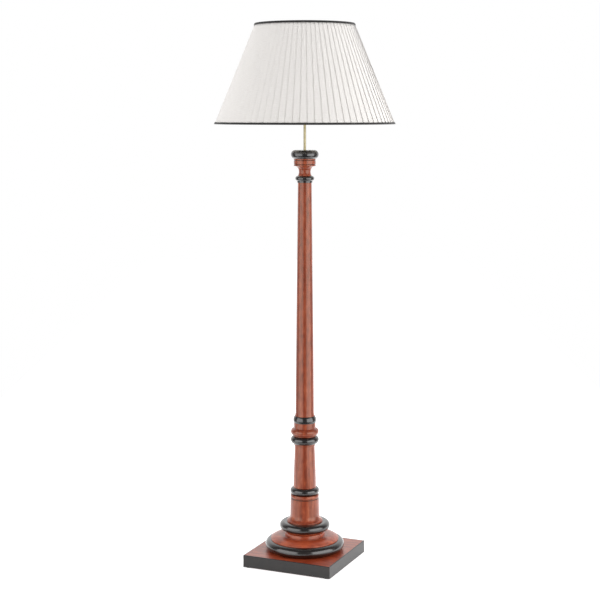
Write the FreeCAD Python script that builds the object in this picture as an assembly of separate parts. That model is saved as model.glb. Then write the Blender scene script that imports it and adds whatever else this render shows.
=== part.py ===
"""Candlestick floor lamp: a turned cherry column with ebonised rings on a square
plinth, and a knife-pleated empire shade on a brass riser.

Millimetres, +Z up. The origin is on the lamp's axis, on the floor under the pads.
The plinth's front edge faces -Y and its cord inlet faces +Y.
"""
import FreeCAD, Part
import math
import os

V = FreeCAD.Vector
AXIS = V(0, 0, 1)

# ---- clearances ------------------------------------------------------------
TENON_GAP = 0.1          # radial, tenon in a socket or in a ring's bore
SOCKET_GAP = 1.0         # glue room beyond a tenon's end
TUBE_GAP = 0.5           # radial, steel tube in the wood
THREAD_GAP = 0.05        # radial, between two threaded pieces
SCREW_GAP = 0.05         # radial, screw in its pilot hole
CLOTH_GAP = 0.3          # between cloth and what backs it
SEAT_GAP = 0.2           # between pieces laid in beside each other

# ---- feet and plinth ---------------------------------------------------------
PAD_R = 12.0
PAD_T = 2.0
PAD_INSET = 14.0         # pad centre in from the plinth's sides
PLINTH_SIDE = 290.0
PLINTH_T = 38.0
EDGING_T = 2.5           # ebonised lipping round the board
EDGING_CHAMFER = 0.8
RECESS_SIDE = 210.0      # hollow under the board, for ballast and wiring
RECESS_DEPTH = 24.0
COVER_LEDGE = 11.0       # rebate that the bottom cover lies in
COVER_T = 3.0
COVER_SCREW_R = 1.75
COVER_SCREW_HEAD_R = 3.3
COVER_SCREW_HEAD_H = 1.8
COVER_SCREW_LENGTH = 16.0

# ---- ballast ------------------------------------------------------------------
BALLAST_SIDE = 202.0
BALLAST_T = 14.0
WIRING_BAY_W = 60.0      # slot in the ballast, from the tube back to the inlet
WIRING_BAY_FRONT = 32.0  # how far the slot reaches in front of the axis
BALLAST_SCREW_R = 2.5
BALLAST_SCREW_HEAD_R = 4.6
BALLAST_SCREW_HEAD_H = 3.0
BALLAST_SCREW_LENGTH = 22.0
BALLAST_SCREW_INSET = 20.0

# ---- tie tube through the column ------------------------------------------------
TUBE_R = 5.0
TUBE_BORE_R = 4.0
TUBE_END_BELOW_NUT = 1.5
WASHER_R = 11.5
WASHER_T = 1.5
NUT_FLATS = 17.0
NUT_H = 5.0

# ---- base turnings, from the plinth up --------------------------------------------
BASE_RING_R = 124.0
BASE_RING_H = 31.8
BASE_RING_BORE_R = 60.0
MOUND_H = 30.7
MOUND_EDGE_R = 106.5
MOUND_EDGE_H = 4.0
MOUND_FILLET_R = 62.3
MOUND_FILLET_Z = 13.0    # where the slope meets the upright fillet, above the base ring
MOUND_FILLET_TOP_R = 61.0
MOUND_COVE_Z = 22.5      # where the cove starts
MOUND_NECK_R = 55.5
MOUND_SWELL = 4.5        # how far the slope bulges from a straight line
SMALL_RING_R = 78.8
SMALL_RING_H = 26.5
FOOT_TENON_R = 20.0
FOOT_TENON_ENGAGE = 20.0

# ---- column foot -----------------------------------------------------------------
FOOT_H = 86.5
FOOT_EDGE_R = 56.0
FOOT_EDGE_H = 3.5
FOOT_FLARE_Z = 21.0
DRUM_R_BOTTOM = 45.8
DRUM_R_TOP = 44.6
FOOT_GROOVE_Z = 74.5
FOOT_GROOVE_W = 3.2
FOOT_GROOVE_DEPTH = 1.8
FOOT_BEAD_R = 44.8
FOOT_BEAD_TOP_R = 43.2
FOOT_RING_R = 45.5
FOOT_RING_H = 23.0

# ---- lower column and knop ---------------------------------------------------------
TENON_R = 13.0
TENON_ENGAGE = 20.0
LOWER_COL_H = 139.0
LOWER_COL_R_BOTTOM = 35.5
LOWER_COL_R_TOP = 31.4
LOWER_COL_STRAIGHT = 11.5    # plain cylinder before the taper
LOWER_COL_EASE = 38.5        # length of the ease from cylinder to taper
LOWER_COL_EASE_DROP = 0.82
LOWER_COL_FILLET_R = 33.6
LOWER_COL_FILLET_H = 5.0
KNOP_LOW_RING_R = 44.3
KNOP_LOW_RING_H = 25.0
BEAD_NOTCH_R = 36.6
BEAD_NOTCH_H = 2.4
BEAD_R = 43.7
BEAD_H = 22.5
BEAD_FILLET_R = 34.2
BEAD_FILLET_H = 17.3
KNOP_TOP_RING_R = 35.9
KNOP_TOP_RING_H = 21.0
KNOP_TOP_RING_CROWN_Z = 10.0   # height of its widest line
KNOP_TOP_RING_FOOT_R = 34.7
KNOP_TOP_RING_HEAD_R = 31.8

# ---- upper column ------------------------------------------------------------------
UPPER_COL_H = 724.6
UPPER_COL_FLARE_R = 31.0
UPPER_COL_FLARE_H = 11.5
UPPER_COL_R_BOTTOM = 29.1
UPPER_COL_R_TOP = 21.0
TOP_TENON_R = 10.0
TOP_TENON_ENGAGE = 9.0
NECK_RING_R = 28.9
NECK_RING_H = 15.3
NECK_FILLET_R = 23.4
NECK_FILLET_H = 5.2

# ---- cup and cap ----------------------------------------------------------------------
CUP_H = 51.8
CUP_FOOT_R = 21.2
CUP_NECK_R = 17.7
CUP_NECK_Z = 12.3
CUP_SCOTIA_R = 28.3
CUP_SCOTIA_Z = 30.0
COLLAR_R = 33.3
COLLAR_FILLET_H = 3.4        # plain band at the foot and at the head of the collar
COLLAR_GROOVE_W = 2.2
COLLAR_GROOVE_DEPTH = 1.4
CUP_BORE_R = 12.0            # counterbore for the nut and washer
CUP_BORE_DEPTH = 21.6
CAP_H = 26.5
CAP_R = 42.3
CAP_FOOT_R = 34.2
CAP_FOOT_H = 13.5            # up to the cap's widest line
CAP_RECESS_R = 11.0
CAP_RECESS_DEPTH = 16.5

# ---- riser and its coupling ---------------------------------------------------------------
RISER_R = 4.0
RISER_BORE_R = 3.0
RISER_GAP = 0.15             # radial, riser in the cap
COUPLING_R = 8.0
COUPLING_H = 26.0
COUPLING_SHOULDER = 5.0      # solid middle between the two threads
COUPLING_PASSAGE_R = 3.2
COUPLING_THREAD = 10.0       # depth of each threaded end

# ---- shade ---------------------------------------------------------------------------------
SHADE_LIFT = 77.9            # the shade's bottom edge above the cap
SHADE_H = 300.0
SHADE_BOTTOM_R = 275.0       # over the trim
SHADE_TOP_R = 151.0
PLEATS = 78
PLEAT_DEPTH = 3.0            # at the bottom rim, less towards the top
PLEAT_STEP = 0.2             # share of a pleat taken by its turned-in side
COVER_CLOTH_T = 0.8
LINING_T = 0.8
TRIM_H = 6.0
TRIM_T = 1.6
TRIM_WEB_T = 1.0
TRIM_LAP = 0.05
WIRE_R = 1.8
RIBS = 6
RIB_R = 1.3
SPOKES = 3
SPOKE_R = 2.0
FITTER_RISE = 51.0           # fitter ring above the shade's bottom edge
FITTER_R = 31.0
FITTER_BORE_R = 20.3
FITTER_T = 1.6

# ---- lampholder --------------------------------------------------------------------------
SKIRT_R = 19.5
SKIRT_WALL = 1.4
SKIRT_H = 30.0
SKIRT_FLANGE_H = 2.0
HOLDER_CAP_R = 20.5
HOLDER_CAP_WALL = 1.2
HOLDER_CAP_H = 34.0
HOLDER_DOME_H = 10.0
HOLDER_BOSS_R = 7.0
HOLDER_BOSS_H = 9.0
INSERT_BASE_H = 13.0
INSERT_WALL_T = 2.4
INSERT_WALL_H = 24.0
SHELL_BORE_R = 13.4          # lamp cap's shell, crest to crest
SHELL_T = 0.4
SHELL_H = 23.0
CONTACT_R = 4.0
CONTACT_H = 2.4
RING_R = 27.0
RING_H = 8.0
RING_FLUTES = 24
RING_FLUTE_R = 1.3
KNOB_R = 8.0
KNOB_LENGTH = 11.0
KNOB_STAND_OFF = 2.5
KNOB_FLUTES = 12
KNOB_FLUTE_R = 1.0
SHAFT_R = 2.5
SHAFT_DEPTH = 9.0            # how far the switch shaft reaches into the insert

# ---- bulb --------------------------------------------------------------------------------
BULB_LENGTH = 106.0
BULB_R = 30.0
BULB_CAP_R = 13.2
BULB_CAP_H = 24.0
BULB_THREAD_PITCH = 3.6
BULB_THREAD_DEPTH = 0.9
BULB_TIP_R = 4.5
BULB_TIP_H = 3.0
BULB_SEAT_R = 11.5
BULB_NECK_R = 14.5
BULB_GLASS_T = 0.9
BULB_SEAT_GAP = 0.1

# ---- wiring ------------------------------------------------------------------------------
FLEX_R = 2.5
FLEX_BEND_R = 13.0
FLEX_Z = 9.6
TERMINAL_Y = 44.0
TERMINAL_L = 20.0
TERMINAL_W = 24.0
TERMINAL_H = 14.0
TERMINAL_SCREW_R = 2.0
INLET_Z = 15.0
INLET_BORE_R = 3.5
INLET_SHANK_R = 5.0
INLET_SHANK_L = 16.0
INLET_FLANGE_R = 8.0
INLET_FLANGE_T = 2.5
INLET_HOLE_GAP = 0.1
CLAMP_Y = 86.0
CLAMP_W = 32.0
CLAMP_L = 12.0
CLAMP_BAR_T = 4.0
CLAMP_SCREW_R = 1.5
CLAMP_SCREW_HEAD_R = 2.8
CLAMP_SCREW_HEAD_H = 2.0
CLAMP_SCREW_INSET = 5.0

# ---- heights worked out from the stack -------------------------------------------------------
PLINTH_Z = PAD_T
PLINTH_TOP = PLINTH_Z + PLINTH_T
RECESS_ROOF = PLINTH_Z + RECESS_DEPTH
MOUND_Z = PLINTH_TOP + BASE_RING_H
SMALL_RING_Z = MOUND_Z + MOUND_H
FOOT_Z = SMALL_RING_Z + SMALL_RING_H
FOOT_RING_Z = FOOT_Z + FOOT_H
LOWER_COL_Z = FOOT_RING_Z + FOOT_RING_H
KNOP_LOW_RING_Z = LOWER_COL_Z + LOWER_COL_H
BEAD_Z = KNOP_LOW_RING_Z + KNOP_LOW_RING_H
KNOP_TOP_RING_Z = BEAD_Z + BEAD_NOTCH_H + BEAD_H + BEAD_FILLET_H
UPPER_COL_Z = KNOP_TOP_RING_Z + KNOP_TOP_RING_H
NECK_RING_Z = UPPER_COL_Z + UPPER_COL_H
CUP_Z = NECK_RING_Z + NECK_FILLET_H + NECK_RING_H
CAP_Z = CUP_Z + CUP_H
CAP_TOP = CAP_Z + CAP_H
BORE_R = TUBE_R + TUBE_GAP

NUT_LOW_Z = RECESS_ROOF - WASHER_T - NUT_H
NUT_TOP_Z = CAP_Z - CUP_BORE_DEPTH + WASHER_T
COUPLING_Z = NUT_TOP_Z + NUT_H + SEAT_GAP
TUBE_LOW_Z = NUT_LOW_Z - TUBE_END_BELOW_NUT
TUBE_TOP_Z = COUPLING_Z + COUPLING_THREAD
RISER_Z = TUBE_TOP_Z + COUPLING_SHOULDER

SHADE_BOTTOM_Z = CAP_TOP + SHADE_LIFT
SHADE_TOP_Z = SHADE_BOTTOM_Z + SHADE_H
FITTER_Z = SHADE_BOTTOM_Z + FITTER_RISE
SEAT_RING_Z = FITTER_Z - RING_H
SHADE_RING_Z = FITTER_Z + FITTER_T
SKIRT_Z = SEAT_RING_Z - SKIRT_FLANGE_H - SEAT_GAP
HOLDER_Z = SKIRT_Z - HOLDER_CAP_H
INSERT_Z = SKIRT_Z - INSERT_BASE_H
RISER_TOP_Z = HOLDER_Z + HOLDER_BOSS_H
SWITCH_Z = SKIRT_Z - INSERT_BASE_H / 2
BULB_Z = SKIRT_Z + CONTACT_H + BULB_SEAT_GAP


# ---- shapes ------------------------------------------------------------------------------
def cylinder(radius, z0, z1, x=0.0, y=0.0):
    """Upright cylinder from z0 to z1."""
    return Part.makeCylinder(radius, z1 - z0, V(x, y, z0))


def block(x0, x1, y0, y1, z0, z1):
    """Box between two corners."""
    return Part.makeBox(x1 - x0, y1 - y0, z1 - z0, V(x0, y0, z0))


def turned(start, *path):
    """Solid turned about the lamp's axis. Each step of the path is a point (r, z)
    for a straight line, or a pair (middle point, end point) for an arc."""
    edges = []
    here = V(start[0], 0, start[1])
    first = here
    for step in path:
        if isinstance(step[0], tuple):
            middle = V(step[0][0], 0, step[0][1])
            there = V(step[1][0], 0, step[1][1])
            edges.append(Part.Arc(here, middle, there).toShape())
        else:
            there = V(step[0], 0, step[1])
            edges.append(Part.LineSegment(here, there).toShape())
        here = there
    edges.append(Part.LineSegment(here, first).toShape())
    return Part.Face(Part.Wire(edges)).revolve(V(0, 0, 0), AXIS, 360)


def upright_arc(r_upright, z_upright, r_end, z_end):
    """Middle point of the arc that is upright at its first end and runs to the second."""
    dr = r_end - r_upright
    dz = z_end - z_upright
    radius = (dr * dr + dz * dz) / (2 * abs(dr))
    side = math.copysign(1.0, dr)
    half = math.asin(max(-1.0, min(1.0, dz / radius))) / 2
    return (r_upright + side * radius * (1 - math.cos(half)), z_upright + radius * math.sin(half))


def swollen(r0, z0, r1, z1, swell):
    """Middle point of an arc that bulges outward from a straight line by the swell."""
    length = math.hypot(r1 - r0, z1 - z0)
    out_r = (z1 - z0) / length
    out_z = (r0 - r1) / length
    return ((r0 + r1) / 2 + swell * out_r, (z0 + z1) / 2 + swell * out_z)


def bullnose_ring(radius, z0, height, bore_r):
    """Flat ring with a half-round edge."""
    flat = radius - height / 2
    z1 = z0 + height
    return turned((bore_r, z0), (flat, z0), ((radius, z0 + height / 2), (flat, z1)), (bore_r, z1))


def corners(distance):
    """The four places (x, y) at one distance from both middle lines."""
    return [(x, y) for x in (-distance, distance) for y in (-distance, distance)]


def around(shape, count):
    """Copies of a shape, evenly spaced about the lamp's axis."""
    copies = []
    for i in range(count):
        copy = shape.copy()
        copy.rotate(V(0, 0, 0), AXIS, 360.0 * i / count)
        copies.append(copy)
    return copies


# ---- feet, plinth and ballast ------------------------------------------------------------------
def foot_pads():
    """Felt discs stuck under the plinth's corners."""
    places = corners(PLINTH_SIDE / 2 - PAD_INSET)
    return Part.makeCompound([cylinder(PAD_R, 0, PAD_T, x, y) for x, y in places])


def inlet_hole():
    """Cord hole from the recess out through the plinth's rear edge."""
    radius = INLET_SHANK_R + INLET_HOLE_GAP
    return Part.makeCylinder(radius, PLINTH_SIDE / 2, V(0, 0, INLET_Z), V(0, 1, 0))


def plinth_board():
    """Cherry board, hollowed underneath."""
    half = PLINTH_SIDE / 2 - EDGING_T
    recess = RECESS_SIDE / 2
    ledge = recess + COVER_LEDGE
    board = block(-half, half, -half, half, PLINTH_Z, PLINTH_TOP)
    board = board.cut(block(-recess, recess, -recess, recess, PLINTH_Z, RECESS_ROOF))
    board = board.cut(block(-ledge, ledge, -ledge, ledge, PLINTH_Z, PLINTH_Z + COVER_T))
    board = board.cut(cylinder(BORE_R, RECESS_ROOF, PLINTH_TOP))
    board = board.cut(inlet_hole().common(block(-half, half, recess, half, PLINTH_Z, PLINTH_TOP)))
    for hole in cover_screw_holes() + ballast_screw_holes():
        board = board.cut(hole)
    return board


def edging_strip(side):
    """One mitred strip of the plinth's ebonised lipping; side 0 is the front."""
    outer = PLINTH_SIDE / 2
    inner = outer - EDGING_T
    corner_points = [V(-outer, -outer, 0), V(outer, -outer, 0), V(inner, -inner, 0), V(-inner, -inner, 0)]
    outline = Part.makePolygon(corner_points + corner_points[:1])
    strip = Part.Face(outline).extrude(V(0, 0, PLINTH_T))
    strip.translate(V(0, 0, PLINTH_Z))
    slope = [V(0, -outer, PLINTH_TOP - EDGING_CHAMFER), V(0, -outer, PLINTH_TOP)]
    slope.append(V(0, -outer + EDGING_CHAMFER, PLINTH_TOP))
    wedge = Part.Face(Part.makePolygon(slope + slope[:1])).extrude(V(PLINTH_SIDE, 0, 0))
    wedge.translate(V(-outer, 0, 0))
    strip = strip.cut(wedge)
    strip.rotate(V(0, 0, 0), AXIS, 90.0 * side)
    return strip


def edging_front():
    """Lipping on the front edge."""
    return edging_strip(0)


def edging_right():
    """Lipping on the right-hand edge."""
    return edging_strip(1)


def edging_rear():
    """Lipping on the rear edge, with the cord hole."""
    return edging_strip(2).cut(inlet_hole())


def edging_left():
    """Lipping on the left-hand edge."""
    return edging_strip(3)


def screw(radius, length, head_r, head_h, x, y, z_head, countersunk):
    """Upright screw driven from below; z_head is the outer face of its head."""
    shank = cylinder(radius, z_head, z_head + length, x, y)
    if countersunk:
        head = Part.makeCone(head_r, radius, head_h, V(x, y, z_head))
    else:
        head = cylinder(head_r, z_head, z_head + head_h, x, y)
    return shank.fuse(head).removeSplitter()


def cover_screw_places():
    """In the ledge's corners."""
    return corners(RECESS_SIDE / 2 + COVER_LEDGE / 2)


def cover_screws():
    """Countersunk screws that hold the bottom cover."""
    made = []
    for x, y in cover_screw_places():
        made.append(screw(COVER_SCREW_R, COVER_SCREW_LENGTH, COVER_SCREW_HEAD_R, COVER_SCREW_HEAD_H,
                          x, y, PLINTH_Z, True))
    return Part.makeCompound(made)


def cover_screw_holes():
    """Pilot holes in the board's ledge."""
    top = PLINTH_Z + COVER_SCREW_LENGTH + SCREW_GAP
    return [cylinder(COVER_SCREW_R + SCREW_GAP, PLINTH_Z, top, x, y) for x, y in cover_screw_places()]


def bottom_cover():
    """Sheet that closes the recess, flush with the plinth's underside."""
    half = RECESS_SIDE / 2 + COVER_LEDGE - SEAT_GAP
    sheet = block(-half, half, -half, half, PLINTH_Z, PLINTH_Z + COVER_T)
    for x, y in cover_screw_places():
        sink_r = COVER_SCREW_HEAD_R + SCREW_GAP
        hole_r = COVER_SCREW_R + SCREW_GAP
        sheet = sheet.cut(Part.makeCone(sink_r, hole_r, COVER_SCREW_HEAD_H, V(x, y, PLINTH_Z)))
        sheet = sheet.cut(cylinder(hole_r, PLINTH_Z, PLINTH_Z + COVER_T, x, y))
    return sheet


def ballast_screw_places():
    """Near the ballast plate's corners."""
    return corners(BALLAST_SIDE / 2 - BALLAST_SCREW_INSET)


def ballast_plate():
    """Cast-iron plate with a slot for the nut, the wiring and the cord."""
    half = BALLAST_SIDE / 2
    slot = WIRING_BAY_W / 2
    z0 = RECESS_ROOF - BALLAST_T
    plate = block(-half, half, -half, half, z0, RECESS_ROOF)
    plate = plate.cut(block(-slot, slot, -WIRING_BAY_FRONT, half, z0, RECESS_ROOF))
    for x, y in ballast_screw_places():
        plate = plate.cut(cylinder(BALLAST_SCREW_R + SCREW_GAP, z0, RECESS_ROOF, x, y))
    return plate


def ballast_screws():
    """Pan-head screws that hold the ballast up to the board."""
    z_head = RECESS_ROOF - BALLAST_T - BALLAST_SCREW_HEAD_H
    made = []
    for x, y in ballast_screw_places():
        made.append(screw(BALLAST_SCREW_R, BALLAST_SCREW_HEAD_H + BALLAST_SCREW_LENGTH,
                          BALLAST_SCREW_HEAD_R, BALLAST_SCREW_HEAD_H, x, y, z_head, False))
    return Part.makeCompound(made)


def ballast_screw_holes():
    """Pilot holes in the board above the ballast."""
    top = RECESS_ROOF - BALLAST_T + BALLAST_SCREW_LENGTH + SCREW_GAP
    radius = BALLAST_SCREW_R + SCREW_GAP
    return [cylinder(radius, RECESS_ROOF, top, x, y) for x, y in ballast_screw_places()]


# ---- tie tube -----------------------------------------------------------------------------------
def tie_tube():
    """Threaded steel tube that clamps the whole column to the plinth."""
    return cylinder(TUBE_R, TUBE_LOW_Z, TUBE_TOP_Z).cut(cylinder(TUBE_BORE_R, TUBE_LOW_Z, TUBE_TOP_Z))


def hexagon_nut(z0):
    """Hexagon nut on the tie tube."""
    across_corners = NUT_FLATS / math.cos(math.pi / 6) / 2
    points = [V(across_corners * math.cos(math.pi * k / 3), across_corners * math.sin(math.pi * k / 3), z0)
              for k in range(6)]
    nut = Part.Face(Part.makePolygon(points + points[:1])).extrude(V(0, 0, NUT_H))
    return nut.cut(cylinder(TUBE_R + THREAD_GAP, z0, z0 + NUT_H))


def tie_nuts():
    """The nut in the plinth's recess and the nut in the cup."""
    return Part.makeCompound([hexagon_nut(NUT_LOW_Z), hexagon_nut(NUT_TOP_Z)])


def washer(z0):
    """Washer on the tie tube."""
    return cylinder(WASHER_R, z0, z0 + WASHER_T).cut(cylinder(TUBE_R + THREAD_GAP, z0, z0 + WASHER_T))


def tie_washers():
    """The washers between the two nuts and the wood."""
    return Part.makeCompound([washer(NUT_LOW_Z + NUT_H), washer(NUT_TOP_Z - WASHER_T)])


# ---- base turnings ---------------------------------------------------------------------------------
def base_ring():
    """Large ebonised half-round ring on the plinth."""
    return bullnose_ring(BASE_RING_R, PLINTH_TOP, BASE_RING_H, BASE_RING_BORE_R + TENON_GAP)


def base_mound():
    """Turned cherry mound; its broad tenon passes the large ring down to the plinth."""
    z = MOUND_Z
    edge = z + MOUND_EDGE_H
    fillet = z + MOUND_FILLET_Z
    cove = z + MOUND_COVE_Z
    top = z + MOUND_H
    slope_middle = swollen(MOUND_EDGE_R, edge, MOUND_FILLET_R, fillet, MOUND_SWELL)
    cove_middle = upright_arc(MOUND_NECK_R, top, MOUND_FILLET_TOP_R, cove)
    socket_r = FOOT_TENON_R + TENON_GAP
    socket_z = top - FOOT_TENON_ENGAGE - SOCKET_GAP
    return turned((BORE_R, PLINTH_TOP),
                  (BASE_RING_BORE_R, PLINTH_TOP),
                  (BASE_RING_BORE_R, z),
                  (MOUND_EDGE_R, z),
                  (MOUND_EDGE_R, edge),
                  (slope_middle, (MOUND_FILLET_R, fillet)),
                  (MOUND_FILLET_TOP_R, cove),
                  (cove_middle, (MOUND_NECK_R, top)),
                  (socket_r, top),
                  (socket_r, socket_z),
                  (BORE_R, socket_z))


def small_ring():
    """Smaller ebonised half-round ring on the mound."""
    return bullnose_ring(SMALL_RING_R, SMALL_RING_Z, SMALL_RING_H, FOOT_TENON_R + TENON_GAP)


def column_foot():
    """Drum at the column's foot, flared below, with a groove and a bead above."""
    z = FOOT_Z
    edge = z + FOOT_EDGE_H
    flare = z + FOOT_FLARE_Z
    top = z + FOOT_H
    groove = z + FOOT_GROOVE_Z
    flare_middle = upright_arc(DRUM_R_BOTTOM, flare, FOOT_EDGE_R, edge)
    groove_middle = (DRUM_R_TOP - FOOT_GROOVE_DEPTH, groove)
    bead_start = (FOOT_BEAD_TOP_R, groove + FOOT_GROOVE_W / 2)
    bead_middle = (FOOT_BEAD_R, (groove + FOOT_GROOVE_W / 2 + top) / 2)
    return turned((BORE_R, z - SMALL_RING_H - FOOT_TENON_ENGAGE),
                  (FOOT_TENON_R, z - SMALL_RING_H - FOOT_TENON_ENGAGE),
                  (FOOT_TENON_R, z),
                  (FOOT_EDGE_R, z),
                  (FOOT_EDGE_R, edge),
                  (flare_middle, (DRUM_R_BOTTOM, flare)),
                  (DRUM_R_TOP, groove - FOOT_GROOVE_W / 2),
                  (groove_middle, bead_start),
                  (bead_middle, (FOOT_BEAD_TOP_R, top)),
                  (TENON_R, top),
                  (TENON_R, top + FOOT_RING_H + TENON_ENGAGE),
                  (BORE_R, top + FOOT_RING_H + TENON_ENGAGE))


def foot_ring():
    """Ebonised ring between the foot and the lower column."""
    return bullnose_ring(FOOT_RING_R, FOOT_RING_Z, FOOT_RING_H, TENON_R + TENON_GAP)


# ---- column and knop ---------------------------------------------------------------------------------
def knop_height():
    """Height of the rings and the bead that the lower column's tenon passes."""
    return UPPER_COL_Z - KNOP_LOW_RING_Z


def lower_column():
    """Lower column: a plain cylinder that eases into a taper, with a fillet on top."""
    z = LOWER_COL_Z
    top = z + LOWER_COL_H
    straight = z + LOWER_COL_STRAIGHT
    ease = straight + LOWER_COL_EASE
    ease_r = LOWER_COL_R_BOTTOM - LOWER_COL_EASE_DROP
    ease_middle = upright_arc(LOWER_COL_R_BOTTOM, straight, ease_r, ease)
    fillet = top - LOWER_COL_FILLET_H
    socket_r = TENON_R + TENON_GAP
    socket_z = z + TENON_ENGAGE + SOCKET_GAP
    tenon_z = top + knop_height() + TENON_ENGAGE
    return turned((socket_r, z),
                  (LOWER_COL_R_BOTTOM, z),
                  (LOWER_COL_R_BOTTOM, straight),
                  (ease_middle, (ease_r, ease)),
                  (LOWER_COL_R_TOP, fillet),
                  (LOWER_COL_FILLET_R, fillet),
                  (LOWER_COL_FILLET_R, top),
                  (TENON_R, top),
                  (TENON_R, tenon_z),
                  (BORE_R, tenon_z),
                  (BORE_R, socket_z),
                  (socket_r, socket_z))


def knop_low_ring():
    """Ebonised ring at the foot of the knop."""
    return bullnose_ring(KNOP_LOW_RING_R, KNOP_LOW_RING_Z, KNOP_LOW_RING_H, TENON_R + TENON_GAP)


def knop_bead():
    """Cherry bead between the knop's two rings, with a fillet on top."""
    z = BEAD_Z
    notch = z + BEAD_NOTCH_H
    shoulder = notch + BEAD_H
    top = shoulder + BEAD_FILLET_H
    bore = TENON_R + TENON_GAP
    return turned((bore, z),
                  (BEAD_NOTCH_R, z),
                  (BEAD_NOTCH_R, notch),
                  ((BEAD_R, notch + BEAD_H / 2), (BEAD_FILLET_R, shoulder)),
                  (BEAD_FILLET_R, top),
                  (bore, top))


def knop_top_ring():
    """Ebonised ring at the head of the knop, crowned below its middle."""
    z = KNOP_TOP_RING_Z
    top = z + KNOP_TOP_RING_H
    bore = TENON_R + TENON_GAP
    crown = (KNOP_TOP_RING_R, z + KNOP_TOP_RING_CROWN_Z)
    return turned((bore, z),
                  (KNOP_TOP_RING_FOOT_R, z),
                  (crown, (KNOP_TOP_RING_HEAD_R, top)),
                  (bore, top))


def upper_column():
    """Long tapered upper column with a flared foot."""
    z = UPPER_COL_Z
    flare = z + UPPER_COL_FLARE_H
    top = z + UPPER_COL_H
    flare_middle = upright_arc(UPPER_COL_R_BOTTOM, flare, UPPER_COL_FLARE_R, z)
    socket_r = TENON_R + TENON_GAP
    socket_z = z + TENON_ENGAGE + SOCKET_GAP
    tenon_z = CUP_Z + TOP_TENON_ENGAGE
    return turned((socket_r, z),
                  (UPPER_COL_FLARE_R, z),
                  (flare_middle, (UPPER_COL_R_BOTTOM, flare)),
                  (UPPER_COL_R_TOP, top),
                  (TOP_TENON_R, top),
                  (TOP_TENON_R, tenon_z),
                  (BORE_R, tenon_z),
                  (BORE_R, socket_z),
                  (socket_r, socket_z))


def neck_ring():
    """Ebonised ring and fillet under the cup."""
    z = NECK_RING_Z
    ring_z = z + NECK_FILLET_H
    top = ring_z + NECK_RING_H
    flat = NECK_RING_R - NECK_RING_H / 2
    bore = TOP_TENON_R + TENON_GAP
    return turned((bore, z),
                  (NECK_FILLET_R, z),
                  (NECK_FILLET_R, ring_z),
                  ((NECK_RING_R, ring_z + NECK_RING_H / 2), (flat, top)),
                  (bore, top))


def cup():
    """Cherry cup: a hollowed neck under a collar with two grooves."""
    z = CUP_Z
    neck = z + CUP_NECK_Z
    scotia = z + CUP_SCOTIA_Z
    top = z + CUP_H
    low_groove = scotia + COLLAR_FILLET_H
    high_groove = top - COLLAR_FILLET_H - COLLAR_GROOVE_W
    groove_r = COLLAR_R - COLLAR_GROOVE_DEPTH
    floor = top - CUP_BORE_DEPTH
    socket_r = TOP_TENON_R + TENON_GAP
    socket_z = z + TOP_TENON_ENGAGE + SOCKET_GAP
    return turned((socket_r, z),
                  (CUP_FOOT_R, z),
                  (upright_arc(CUP_NECK_R, neck, CUP_FOOT_R, z), (CUP_NECK_R, neck)),
                  (upright_arc(CUP_NECK_R, neck, CUP_SCOTIA_R, scotia), (CUP_SCOTIA_R, scotia)),
                  (COLLAR_R, scotia),
                  (COLLAR_R, low_groove),
                  ((groove_r, low_groove + COLLAR_GROOVE_W / 2), (COLLAR_R, low_groove + COLLAR_GROOVE_W)),
                  (COLLAR_R, high_groove),
                  ((groove_r, high_groove + COLLAR_GROOVE_W / 2), (COLLAR_R, high_groove + COLLAR_GROOVE_W)),
                  (COLLAR_R, top),
                  (CUP_BORE_R, top),
                  (CUP_BORE_R, floor),
                  (BORE_R, floor),
                  (BORE_R, socket_z),
                  (socket_r, socket_z))


def cap():
    """Ebonised cap over the cup; the riser comes out of its middle."""
    z = CAP_Z
    widest = z + CAP_FOOT_H
    top_r = CAP_R - (CAP_TOP - widest)
    recess = z + CAP_RECESS_DEPTH
    hole_r = RISER_R + RISER_GAP
    return turned((CAP_RECESS_R, z),
                  (CAP_FOOT_R, z),
                  (upright_arc(CAP_R, widest, CAP_FOOT_R, z), (CAP_R, widest)),
                  (upright_arc(CAP_R, widest, top_r, CAP_TOP), (top_r, CAP_TOP)),
                  (hole_r, CAP_TOP),
                  (hole_r, recess),
                  (CAP_RECESS_R, recess))


# ---- riser -------------------------------------------------------------------------------------------
def riser_coupling():
    """Brass reducer that joins the riser to the tie tube, hidden in the cap."""
    z = COUPLING_Z
    tube_r = TUBE_R + THREAD_GAP
    riser_r = RISER_R + THREAD_GAP
    return turned((tube_r, z),
                  (COUPLING_R, z),
                  (COUPLING_R, z + COUPLING_H),
                  (riser_r, z + COUPLING_H),
                  (riser_r, RISER_Z),
                  (COUPLING_PASSAGE_R, RISER_Z),
                  (COUPLING_PASSAGE_R, TUBE_TOP_Z),
                  (tube_r, TUBE_TOP_Z))


def riser():
    """Slim brass tube from the cap up to the lampholder."""
    return cylinder(RISER_R, RISER_Z, RISER_TOP_Z).cut(cylinder(RISER_BORE_R, RISER_Z, RISER_TOP_Z))


# ---- lampholder ---------------------------------------------------------------------------------------
def switch_bore():
    """Bore for the switch shaft, out to the right."""
    start = HOLDER_CAP_R - HOLDER_CAP_WALL - SHAFT_DEPTH
    return Part.makeCylinder(SHAFT_R + THREAD_GAP, HOLDER_CAP_R, V(start, 0, SWITCH_Z), V(1, 0, 0))


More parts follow.
